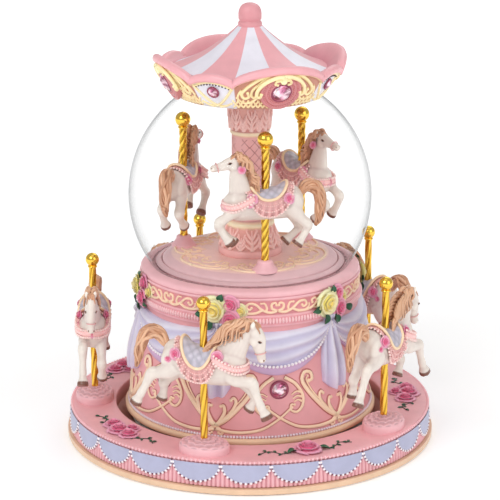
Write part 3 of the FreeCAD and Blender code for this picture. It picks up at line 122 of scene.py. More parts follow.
world = bpy.data.worlds.new("studio_white")
world.use_nodes = True
tree = world.node_tree
glow = tree.nodes["Background"]
fill(tree, glow, {"Color": WHITE, "Strength": WORLD_GLOW})
backdrop = added(tree, "Background", "Background", {"Color": WHITE})
seen = added(tree, "LightPath", "Is Camera Ray", {})
choice = added(tree, "MixShader", "Shader", {"Fac": seen, 1: glow.outputs["Background"], 2: backdrop})
fill(tree, tree.nodes["World Output"], {"Surface": choice})
scene.world = world
scene.view_settings.view_transform = "Standard"

floor_mesh = bpy.data.meshes.new("studio_floor")
floor_corners = FLOOR_HALF * MM * np.array([(-1, -1, 0), (1, -1, 0), (1, 1, 0), (-1, 1, 0)])
floor_mesh.from_pydata(floor_corners.tolist(), [], [(0, 1, 2, 3)])
floor = bpy.data.objects.new("studio_floor", floor_mesh)
scene.collection.objects.link(floor)
floor_material, tree = blank_material("floor_white")
floor_spot = added(tree, "TexCoord", "Object", {})
from_middle = added(tree, "VectorMath", "Value", {0: floor_spot}, operation="LENGTH")
fill(tree, tree.nodes["Principled BSDF"], {
    "Base Color": FLOOR_WHITE, "Roughness": FLOOR_ROUGHNESS, "Emission Color": WHITE,
    "Emission Strength": added(tree, "MapRange", "Result", {"Value": from_middle, **FLOOR_GLOW})})
floor_mesh.materials.append(floor_material)

# Base: a felt ring glued under a cream resin plinth, whose recess holds the winding key, and a nylon
# ring that the platform glides on. The solids have the right shape, so they only get their finish.
FELT = (84, 74, 84)
CREAM = (241, 204, 170)
NYLON = (226, 222, 212)
COAT_ROUGHNESS = 0.12
BUMP_DEPTH = 0.2


def tint(colour):
    """A colour of 0 to 255 per channel, as seen on a screen, in the renderer's linear light."""
    share = np.asarray(colour, float) / 255.0
    return np.where(share <= 0.04045, share / 12.92, ((share + 0.055) / 1.055) ** 2.4)


def finish(name, colour=None, roughness=0.45, metallic=0.0, coat=0.0, mottle=0.06, grain=600.0, bump=0.05):
    """A painted or metal finish: its colour, or the piece's own paint attribute where none is given,
    varied by a soft mottle, with roughness that varies and a fine bump on the same grain."""
    material, tree = blank_material(name)
    spot = added(tree, "TexCoord", "Object", {})
    cloud = added(tree, "TexNoise", "Fac", {"Scale": grain / 4.0, "Detail": 4.0, "Vector": spot})
    shade = added(tree, "MapRange", "Result", {"Value": cloud, "From Min": 0.3, "From Max": 0.7,
                                               "To Min": 1.0 - mottle, "To Max": 1.0 + mottle})
    paint = added(tree, "Attribute", "Color", {}, attribute_name="paint") if colour is None else tint(colour)
    varied = added(tree, "VectorMath", "Vector", {0: paint, "Scale": shade}, operation="SCALE")
    fine = added(tree, "TexNoise", "Fac", {"Scale": grain * 3.0, "Detail": 3.0, "Vector": spot})
    rough = added(tree, "MapRange", "Result",
                  {"Value": fine, "To Min": roughness * 0.8, "To Max": roughness * 1.2})
    relief = added(tree, "Bump", "Normal", {"Strength": bump, "Distance": BUMP_DEPTH * MM, "Height": fine})
    fill(tree, tree.nodes["Principled BSDF"], {
        "Base Color": varied, "Roughness": rough, "Normal": relief, "Metallic": metallic,
        "Coat Weight": coat, "Coat Roughness": COAT_ROUGHNESS})
    return material


def dress(material, *names):
    """Gives CAD nodes a finish."""
    for name in names:
        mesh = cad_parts[name].data
        mesh.materials.clear()
        mesh.materials.append(material)


dress(finish("felt", FELT, roughness=0.95, mottle=0.25, grain=2400.0, bump=0.6), "felt_ring")
dress(finish("cream_resin", CREAM, roughness=0.4, coat=0.15), "base_plinth")
dress(finish("nylon", NYLON, roughness=0.55), "glide_ring", "ring_gear")

# Clockwork: turned brass wheels and barrel, ground steel arbors and comb, all inside the drum, and the
# brass key in the recess underneath. The solids show as they are.
BRASS = (212, 172, 96)
STEEL = (168, 170, 174)
RUBBER = (226, 172, 184)
brass = finish("turned_brass", BRASS, roughness=0.28, metallic=1.0, mottle=0.05, grain=1500.0, bump=0.08)
steel = finish("ground_steel", STEEL, roughness=0.32, metallic=1.0, mottle=0.05, grain=2000.0, bump=0.08)
dress(brass, "drive_pinion", "drive_wheel", "great_wheel", "spring_barrel", "crown_lid", "winding_key",
      "bedplate", "bedplate_posts", "cylinder_brackets", "governor_brackets", "cylinder_pinion",
      "music_cylinder", "cylinder_wheel", "governor_pinion", "governor_fan", "comb_block", "spindle_bush")
dress(steel, "mechanism_plate", "plate_screws", "drive_shaft", "mainspring", "spindle", "winding_arbor",
      "cylinder_arbor", "governor_arbor", "comb", "comb_screws")
dress(finish("tinted_rubber", RUBBER, roughness=0.6), "globe_stopper")

# Platform: a turning ring cast in pink resin with a fluted skirt, lavender scallops edged with pearls,
# a pearl line round its top and an oval petalled boss under each pole. Painted by hand.
PINK = (246, 182, 187)
LIGHT_PINK = (246, 190, 196)
PINK_SHADE = (218, 136, 148)
LAVENDER = (184, 186, 214)
PEARL = (250, 240, 244)
MAROON = (118, 42, 58)
WELL_SHADE_BROWN = (214, 148, 132)
OUTER_COUNT = 5
OUTER_FIRST = -16.0
OUTER_CIRCLE = 65.2
DECK_LEVEL = 13.6
DECK_UNDERSIDE = 11.4
WELL_RADIUS = 56.3
SKIRT_TOP_RADIUS = 74.9
SKIRT_FOOT_RADIUS = 75.5
SKIRT_BACK_RADIUS = 73.0
SKIRT_TOP = DECK_LEVEL - 0.9
SKIRT_FOOT = 3.1
FLUTES_PER_SCALLOP = 11
FLUTE_STEPS = 6
FLUTE_DEPTH = 0.55
SCALLOP_COUNT = 24
SCALLOP_FIRST = 13.8
SCALLOP_TOP = DECK_LEVEL - 1.2
SCALLOP_DROP = 7.5
HEM_PEARLS = 15
TOP_PEARLS = 264
BOSS_LENGTH = 20.4
BOSS_WIDTH = 15.8
BOSS_HEIGHT = 3.2
BOSS_CROWN = 2.1
BOSS_SIDES = 96
BOSS_PETAL_RINGS = 4.0


def evenly(count, first=0.0):
    """Angles in degrees, spread evenly round the axis from a first one."""
    return first + 360.0 / count * np.arange(count)


def turns(count):
    """Angles in radians, spread evenly round a circle."""
    return 2.0 * np.pi * np.arange(count) / count


def spun(radius, turn, level):
    """Points about an upright axis, from their radius, turn in radians and level."""
    return np.stack(np.broadcast_arrays(radius * np.cos(turn), radius * np.sin(turn), level), axis=-1)


def unit(arrows):
    """Arrows of length one."""
    return arrows / np.maximum(np.linalg.norm(arrows, axis=-1), 1e-9)[..., None]


def blend(first, second, share):
    """Paint between two colours, by the share of the second."""
    return tint(first) + (tint(second) - tint(first)) * share[..., None]


def outlined(*runs):
    """The points of an outline and their paint, from runs of points with a colour for each run."""
    paint = [np.tile(tint(colour), (len(points), 1)) for colour, points in runs]
    return np.concatenate([points for _, points in runs]), np.concatenate(paint)


def surface(points, colour, around=False, along=False):
    """A grid of points (rows, columns) as quads with a colour for each point. The columns or rows close
    on themselves where asked. Faces point to the right-hand side of columns crossed with rows."""
    rows, columns = points.shape[:2]
    index = np.arange(rows * columns).reshape(rows, columns)
    if around:
        index = np.concatenate([index, index[:, :1]], axis=1)
    if along:
        index = np.concatenate([index, index[:1]], axis=0)
    quads = np.stack([index[:-1, :-1], index[:-1, 1:], index[1:, 1:], index[1:, :-1]], axis=-1)
    paint = np.broadcast_to(colour, (rows, columns, 3))
    return points.reshape(-1, 3), quads.reshape(-1, 4), paint.reshape(-1, 3)


def joined(parts):
    """Several surfaces as one."""
    starts = np.cumsum([0] + [len(part[0]) for part in parts[:-1]])
    quads = [part[1] + start for part, start in zip(parts, starts)]
    return np.concatenate([p[0] for p in parts]), np.concatenate(quads), np.concatenate([p[2] for p in parts])


def relief_shaded(points, quads, paint, strength):
    """Paint darkened in hollows as painted shade and lightened on ridges as painted highlight. A point's
    hollow is how far the mean of its neighbours stands out along its normal, as a share of their distance."""
    corners = points[quads]
    normals = np.cross(corners[:, 2] - corners[:, 0], corners[:, 3] - corners[:, 1])
    total = np.zeros_like(points)
    mean = np.zeros_like(points)
    count = np.zeros(len(points))
    for k in range(4):
        here, after = quads[:, k], quads[:, (k + 1) % 4]
        for axis in range(3):
            total[:, axis] += np.bincount(here, normals[:, axis], len(points))
            mean[:, axis] += np.bincount(here, points[after, axis], len(points))
            mean[:, axis] += np.bincount(after, points[here, axis], len(points))
        count += np.bincount(here, minlength=len(points)) + np.bincount(after, minlength=len(points))
    lean = mean / np.maximum(count, 1)[:, None] - points
    facing = unit(total)
    reach = np.maximum(np.linalg.norm(points[quads[:, 0]] - points[quads[:, 2]], axis=1).mean(), 1e-6)
    hollow = np.clip((lean * facing).sum(axis=1) / reach * strength, -0.35, 0.6)[:, None]
    return paint * (1.0 - hollow * np.array([0.75, 1.0, 0.95]))


def put(name, parts, material, body, slot, *nodes, relief_shading=0.0, smooth=True):
    """Joins surfaces into one smooth mesh in metres with its paint as an attribute, closes its seams, and
    fixes it to its body in place of the CAD nodes named."""
    points, quads, paint = joined(parts)
    # Painted shade in hollows and painted highlight on ridges, at the strength asked for.
    if relief_shading:
        paint = relief_shaded(points, quads, paint, relief_shading)
    mesh = bpy.data.meshes.new(name)
    mesh.vertices.add(len(points))
    mesh.vertices.foreach_set("co", (points * MM).astype(np.float32).ravel())
    mesh.loops.add(quads.size)
    mesh.loops.foreach_set("vertex_index", quads.astype(np.int32).ravel())
    mesh.polygons.add(len(quads))
    mesh.polygons.foreach_set("loop_start", np.arange(0, quads.size, 4, dtype=np.int32))
    mesh.update(calc_edges=True)
    layer = mesh.attributes.new("paint", "FLOAT_COLOR", "POINT")
    rgba = np.concatenate([np.clip(paint, 0.0, 1.0), np.ones((len(points), 1))], axis=1)
    layer.data.foreach_set("color", rgba.astype(np.float32).ravel())
    work = bmesh.new()
    work.from_mesh(mesh)
    bmesh.ops.remove_doubles(work, verts=work.verts, dist=1e-6)
    bmesh.ops.dissolve_degenerate(work, edges=work.edges, dist=1e-7)
    work.to_mesh(mesh)
    work.free()
    mesh.polygons.foreach_set("use_smooth", np.full(len(mesh.polygons), smooth))
    mesh.materials.append(material)
    piece = bpy.data.objects.new(name, mesh)
    scene.collection.objects.link(piece)
    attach(piece, body)
    if nodes:
        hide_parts(*nodes)


def turned(profile, colour, columns, along=False):
    """A profile of (radius, level) points carried round the axis, in one colour or one for each point."""
    profile = np.asarray(profile, float)
    points = ring_points(profile[:, :1], evenly(columns), profile[:, 1:])
    if colour.ndim == 2:
        colour = colour[:, None, :]
    return surface(points, colour, around=True, along=along)


def ball(radius=1.0, rings=5, sides=8):
    """Points of a ball, from its lower pole to its upper one."""
    rise = np.pi * (np.arange(rings) / (rings - 1) - 0.5)[:, None]
    return radius * spun(np.cos(rise), turns(sides), np.sin(rise))


def pearls(centres, radius, colour, tall=1.0):
    """A small ball at each centre, with few faces, stretched upwards by a factor."""
    centres = np.asarray(centres, float).reshape(-1, 3)
    points, quads, _ = surface(ball() * np.array([1.0, 1.0, tall]), np.zeros(3), around=True)
    starts = (np.arange(len(centres)) * len(points))[:, None, None]
    copies = (centres[:, None, :] + points * radius).reshape(-1, 3)
    return copies, (quads[None] + starts).reshape(-1, 4), np.broadcast_to(colour, copies.shape)


def bead_row(count, radius, level, size, colour, tall=1.0):
    """Beads evenly round a circle, stretched upwards by a factor."""
    return pearls(ring_points(radius, evenly(count), level), size, tint(colour), tall)


outer_angles = evenly(OUTER_COUNT, OUTER_FIRST)
scallop_angles = evenly(SCALLOP_COUNT, SCALLOP_FIRST)
painted_resin = finish("painted_resin", roughness=0.42, coat=0.12, mottle=0.04, grain=700.0, bump=0.06)
platform_outline, platform_paint = outlined(
    # The well's floor and the foot of its wall are painted brown, as painted shade.
    (WELL_SHADE_BROWN, [(50.0, 7.05), (50.0, 7.6), (WELL_RADIUS - 0.4, 7.7), (WELL_RADIUS, 8.2)]),
    (PINK, [(WELL_RADIUS, 13.0), (WELL_RADIUS + 0.2, 13.45), (WELL_RADIUS + 0.7, DECK_LEVEL),
            (60.0, DECK_LEVEL), (64.0, DECK_LEVEL), (68.0, DECK_LEVEL), (72.0, DECK_LEVEL),
            (74.0, DECK_LEVEL), (74.7, 13.4), (SKIRT_TOP_RADIUS, 12.8), (SKIRT_TOP_RADIUS - 0.6, 12.2),
            (SKIRT_BACK_RADIUS, DECK_UNDERSIDE), (58.3, DECK_UNDERSIDE), (58.3, 7.05)]))

flute_count = SCALLOP_COUNT * FLUTES_PER_SCALLOP
flute_angles = evenly(flute_count * FLUTE_STEPS)
flute = np.abs(np.cos(np.radians(flute_angles * flute_count / 2.0)))
skirt_share = np.array([0.0, 0.04, 0.3, 0.6, 0.9, 0.97, 1.0])[:, None]
skirt_level = SKIRT_TOP + (SKIRT_FOOT - SKIRT_TOP) * skirt_share
skirt_radius = SKIRT_TOP_RADIUS + (SKIRT_FOOT_RADIUS - SKIRT_TOP_RADIUS) * skirt_share
skirt_front = ring_points(skirt_radius - FLUTE_DEPTH * (1.0 - flute), flute_angles, skirt_level)
skirt_back = ring_points(np.array([[SKIRT_FOOT_RADIUS - 0.7], [SKIRT_BACK_RADIUS]]), flute_angles,
                         np.array([[SKIRT_FOOT], [DECK_UNDERSIDE]]))
# The flute troughs are painted deep pink as painted shade, the crests light pink as painted highlight.
skirt_paint = np.concatenate([
    np.broadcast_to(blend(LIGHT_PINK, PINK_SHADE, 1.0 - flute ** 0.7), skirt_front.shape),
    np.broadcast_to(tint(PINK), skirt_back.shape)])
skirt = surface(np.concatenate([skirt_front, skirt_back])[::-1], skirt_paint[::-1], around=True)


def on_skirt(angle, level, proud):
    """A place on the skirt at an angle and level, raised by a height. The skirt widens evenly downwards."""
    share = (DECK_LEVEL - level) / (DECK_LEVEL - SKIRT_FOOT)
    radius = SKIRT_TOP_RADIUS + (SKIRT_FOOT_RADIUS - SKIRT_TOP_RADIUS) * share
    return ring_points(radius + proud, angle, level)


def scallop(angle):
    """A lavender half oval on the skirt: across it the edge follows half an oval, and the face bulges."""
    across = np.linspace(-1.0, 1.0, 25)
    down = np.array([0.0, 0.3, 0.6, 0.85, 0.96, 1.0, 1.0])[:, None]
    proud = np.array([0.5, 0.55, 0.6, 0.55, 0.45, 0.25, -0.5])[:, None]
    drop = SCALLOP_DROP * np.sqrt(np.maximum(1.0 - (0.985 * across) ** 2, 0.0))
    points = on_skirt(angle + 180.0 / SCALLOP_COUNT * across, SCALLOP_TOP - down * drop, proud)
    return surface(points[::-1], tint(LAVENDER) * (1.0 - 0.12 * np.abs(across) ** 3)[:, None])


def scallop_edge(count, offset):
    """Points along the hem of every scallop, evenly round each half oval."""
    turn = np.pi * (np.arange(count) + offset) / count
    angles = scallop_angles[:, None] - 180.0 / SCALLOP_COUNT * 0.97 * np.cos(turn)
    return on_skirt(angles, SCALLOP_TOP - SCALLOP_DROP * np.sin(turn), 0.35)


def boss(angle):
    """An oval mound: a straight side with a rounded shoulder, then rings of ruffled petals to the middle.
    Each petal ring climbs outwards and drops at a scalloped edge."""
    turn = turns(BOSS_SIDES)
    side = np.array([[1.0, 0.0], [1.0, 2.4], [0.985, 2.9], [0.95, BOSS_HEIGHT]])
    share = np.linspace(0.94, 0.1, 42)[:, None]
    row = share * BOSS_PETAL_RINGS
    wave = row + 0.35 * np.abs(np.cos(turn * (4.0 + np.floor(row))))
    petal = (wave - np.floor(wave)) ** 1.5
    crown = BOSS_HEIGHT + BOSS_CROWN * (1.0 - share ** 2) + 0.75 * petal - 0.3
    size = np.concatenate([side[:, :1], share])
    level = np.concatenate([side[:, 1:] + 0.0 * turn, crown])
    # Painted shade at the foot of each petal ring and painted highlight on its raised edge.
    shade = np.concatenate([np.ones((len(side), BOSS_SIDES)), 0.8 + 0.32 * petal])
    mound = np.stack([BOSS_LENGTH / 2.0 * size * np.cos(turn), BOSS_WIDTH / 2.0 * size * np.sin(turn), level],
                     axis=-1)
    axes = np.stack([ring_points(1.0, angle + 90.0, 0.0), ring_points(-1.0, angle, 0.0), (0.0, 0.0, 1.0)])
    points = ring_points(OUTER_CIRCLE, angle, DECK_LEVEL) + mound @ axes
    return surface(points, tint(LIGHT_PINK) * shade[..., None], around=True)


deck_parts = [turned(platform_outline[::-1], platform_paint[::-1], 360, along=True), skirt]
deck_parts += [scallop(angle) for angle in scallop_angles]
deck_parts += [pearls(scallop_edge(HEM_PEARLS, 0.5), 0.58, tint(PEARL)),
               pearls(scallop_edge(HEM_PEARLS, 1.0), 0.36, tint(MAROON)),
               bead_row(TOP_PEARLS, SKIRT_TOP_RADIUS - 0.1, DECK_LEVEL - 0.4, 0.72, LIGHT_PINK)]
deck_parts += [boss(angle) for angle in outer_angles]
put("platform_ring", deck_parts, painted_resin, "platform", "pink_resin", "platform", relief_shading=0.5)

# Rose sprays: modelled roses with dark green leaves and painted twigs, set on the deck between the
# bosses. Cast with the deck and painted by hand.
ROSE_PINK = (236, 112, 154)
ROSE_PALE = (252, 182, 206)
LEAF_GREEN = (38, 96, 66)
TWIG = (58, 66, 52)
PETAL_RINGS = [
    # Petals, radius at the foot, radius at the lip, lip height, curl, all as shares of the rose's radius
    (5, 0.50, 0.98, 0.46, 0.26),
    (5, 0.40, 0.78, 0.66, 0.18),
    (4, 0.26, 0.54, 0.82, 0.10),
    (3, 0.10, 0.28, 0.94, 0.05),
]
SPRAY_CIRCLE = OUTER_CIRCLE + 1.0
SINGLE_ROSE = [(0.0, 0.0, 4.6)]
ROSE_GROUP = [
    # Angle, distance out and radius
    (0.0, 0.8, 3.9), (-5.6, -0.8, 3.5), (5.4, 0.8, 3.4), (1.8, -4.2, 2.8),
]
SPRAY_LEAVES = [
    # Angle, distance out, heading and length
    (-6.5, -1.0, 200.0, 5.2), (6.8, 0.5, -20.0, 5.0), (2.5, -4.6, -70.0, 4.4), (-3.0, 4.2, 120.0, 4.2),
]
UP = np.array([0.0, 0.0, 1.0])
FLAT = np.eye(3)


def frame_on(outward):
    """Three unit vectors for something set on a face: across it, up along it and outwards."""
    outward = unit(np.asarray(outward, float))
    across = unit(np.cross(UP, outward))
    return np.stack([across, np.cross(outward, across), outward])


def rose(place, axes, radius, heart, edge, spin, steps=(7, 6)):
    """A rose of cupped petals in four rings round a low dome. Each petal is a strip of a cup that widens
    from its foot to its lip and curls outwards; the lip is paler than the heart."""
    across = np.linspace(-1.0, 1.0, steps[0])
    up = np.linspace(0.0, 1.0, steps[1])[:, None]
    round_edge = 1.0 - 0.22 * across ** 4
    colour = blend(heart, edge, 0.25 + 0.75 * up ** 1.5 + 0.0 * across)
    parts = []
    for ring, (count, foot, lip, height, curl) in enumerate(PETAL_RINGS):
        width = (foot + (lip - foot) * up ** 0.7 + curl * up ** 5) * (1.0 + 0.06 * across)
        level = height * (up ** 0.9) * round_edge - curl * 0.8 * up ** 6
        bend = np.pi / count * 1.32 * across * (0.75 + 0.25 * up)
        for k in range(count):
            grid = spun(width, 2.0 * np.pi * (k + 0.45 * ring + spin) / count + bend, level) * radius
            parts.append(surface((place + grid @ axes)[::-1], colour[::-1]))
            # The back of each petal is painted darker, as painted shade.
            back = grid * np.array([1.05, 1.05, 1.0]) - 0.04 * radius * UP
            parts.append(surface(place + back @ axes, colour * 0.85))
    bud = ball(radius, 9, 14) * np.array([0.82, 0.82, 0.56]) + 0.1 * radius * UP
    parts.append(surface(place + bud @ axes, tint(heart), around=True))
    return joined(parts)


def leaf(place, axes, length, width, colour, heading, lift):
    """A pointed leaf that leaves its place at a heading on the face, folds along its midrib and arches."""
    along = np.linspace(0.0, 1.0, 9)[:, None]
    across = np.linspace(-1.0, 1.0, 5)
    half = width / 2.0 * np.sin(np.pi * along ** 0.8) ** 0.8
    run = length * along
    side = half * across
    rise = length * lift * np.sin(np.pi * along) + 0.35 * half * np.abs(across) + 0.1 * width
    c, s = math.cos(math.radians(heading)), math.sin(math.radians(heading))
    top = np.stack([run * c - side * s, run * s + side * c, rise], axis=-1)
    under = top - 0.3 * UP
    # The top is painted paler on the midrib and towards the tip and darker in the fold beside the midrib, as
    # painted shade; the underside is darker still, as painted shade.
    rib = 1.0 + 0.5 * (np.abs(across) < 0.1) - 0.25 * (1.0 - np.abs(across))
    shade = tint(colour) * (rib * (0.8 + 0.4 * along))[..., None]
    return joined([surface((place + top @ axes)[::-1], shade[::-1]),
                   surface(place + under @ axes, shade * 0.7)])


def tube(path, radius, colour, sides, side_way=UP):
    """A round section carried along a path. Sections stand square to the path, with one axis kept as near
    as it can be to a side direction for the whole path; the ends close to a point."""
    path = np.asarray(path, float)
    heading = unit(np.gradient(path, axis=0))
    first = unit(np.cross(np.broadcast_to(side_way, path.shape), heading))
    second = np.cross(heading, first)
    turn = turns(sides)[:, None]
    ring = first[:, None] * np.cos(turn) + second[:, None] * np.sin(turn)
    points = path[:, None] + ring * np.broadcast_to(radius, len(path))[:, None, None]
    ends = np.repeat(path[[0, -1], None], sides, axis=1)
    return surface(np.concatenate([ends[:1], points, ends[1:]]), colour, around=True)


spray_parts = []
rng = np.random.default_rng(11)
for k, angle in enumerate(outer_angles + 180.0 / OUTER_COUNT):
    for turn, out, radius in ROSE_GROUP if k else SINGLE_ROSE:
        place = ring_points(SPRAY_CIRCLE + out, angle + turn, DECK_LEVEL - 0.3)
        spray_parts.append(rose(place, FLAT, radius, ROSE_PINK, ROSE_PALE, rng.random()))
    for turn, out, heading, length in SPRAY_LEAVES:
        place = ring_points(SPRAY_CIRCLE + out * 0.6, angle + turn * 0.55, DECK_LEVEL)
        spray_parts.append(leaf(place, FLAT, length, 3.0, LEAF_GREEN, heading + angle, 0.12))
    for side in (-1.0, 1.0):
        share = np.linspace(0.0, 1.0, 14)
        twig = ring_points(SPRAY_CIRCLE + 1.6 * np.sin(share * 7.0), angle + side * (6.0 + 11.0 * share),
                           DECK_LEVEL + 0.1)
        spray_parts.append(tube(twig, 0.2, tint(TWIG), 5))
        for spot in range(2, 14, 2):
            heading = angle + (20.0 if side > 0 else 160.0) + 55.0 * (-1) ** (spot // 2)
            spray_parts.append(leaf(twig[spot], FLAT, 2.3, 1.1, LEAF_GREEN, heading, 0.05))
put("rose_sprays", spray_parts, painted_resin, "platform", "pink_resin")

# Outer poles: brass rods with a barley twist and a ball on top, cast in one and gilded. Each is glued
# into its boss on the platform.
GOLD = (250, 206, 86)
GOLD_GROOVE_SHADE = (170, 116, 32)
OUTER_POLE_RADIUS = 1.5
OUTER_POLE_FOOT = DECK_LEVEL + 0.5
OUTER_POLE_LENGTH = 60.2
OUTER_BALL_RADIUS = 2.8
TWIST_STRANDS = 4.0
OUTER_TWIST = 42.0
POLE_SIDES = 36
gilt = finish("gilt", roughness=0.16, metallic=1.0, mottle=0.03, grain=900.0, bump=0.03)


def pole(circle, angle, foot, length, radius, ball_radius, pitch):
    """A barley-twist rod whose radius swells and dips round a helix, closed below, under a ball on a
    small collar. The gold is painted darker down in the twist, as painted shade."""
    level = np.linspace(0.0, length - ball_radius * 0.8, int(length / 0.4))[:, None]
    turn = turns(POLE_SIDES)
    helix = np.abs(np.cos(TWIST_STRANDS / 2.0 * (turn - 2.0 * np.pi * level / pitch)))
    rod = spun(radius * (0.78 + 0.24 * helix ** 0.6), turn, level)
    rod = np.concatenate([np.zeros((1, POLE_SIDES, 3)), rod])
    # Painted shade in the twist's grooves.
    rod_paint = blend(GOLD_GROOVE_SHADE, GOLD, np.concatenate([helix[:1], helix]) ** 0.8)
    bulge = np.linspace(-0.5, 0.5, 7)[:, None] * np.pi
    collar = spun(radius * (0.95 + 0.35 * np.cos(bulge)), turn,
                  length - ball_radius * 1.05 + 0.5 * np.sin(bulge))
    knob = ball(ball_radius, 25, POLE_SIDES) + length * UP
    centre = ring_points(circle, angle, foot)
    shapes = [(rod, rod_paint), (collar, tint(GOLD)), (knob, tint(GOLD))]
    return [surface(shape + centre, paint, around=True) for shape, paint in shapes]


for k, angle in enumerate(outer_angles, start=1):
    parts = pole(OUTER_CIRCLE, angle, OUTER_POLE_FOOT, OUTER_POLE_LENGTH, OUTER_POLE_RADIUS,
                 OUTER_BALL_RADIUS, OUTER_TWIST)
    put(f"gilt_pole_{k}", parts, gilt, "platform", "gold", f"outer_pole_{k}")

# Outer horses: cast resin figures glued on their poles, pearl white with tan hair, a lavender saddle
# edged in cream, a ruffled pink cloth and small roses. Limbs are ovals carried along a path, then
# merged into one skin; hair, tack and roses are modelled on top.
HORSE_WHITE = (229, 216, 207)
HORSE_SHADE = (206, 183, 174)
HAIR = (188, 134, 104)
# The pale hair tone is painted highlight on the outer locks; the dark brown paints lid lines and nostrils and
# is painted shade deep in the hair.
HAIR_HIGHLIGHT = (224, 176, 144)
DARK_BROWN_AND_HAIR_SHADE = (134, 82, 60)
HOOF = (118, 74, 60)
EYE = (40, 28, 30)
SEAT = (208, 202, 216)
LACE = (248, 198, 194)
CLOTH = (234, 176, 174)
SKIN_STEP = 0.45
SKIN_SMOOTHING = 6
LEG_STOUTNESS = 1.4
MANE_ROWS = 15
TAIL_LOCKS = 28
CLOTH_REACH = 2.6
HEM_BEADS = 66
FORWARD, SIDEWAYS = np.eye(3)[:2]
BOTH_SIDES = np.array([(1.0, -1.0, 1.0), (1.0, 1.0, 1.0)])

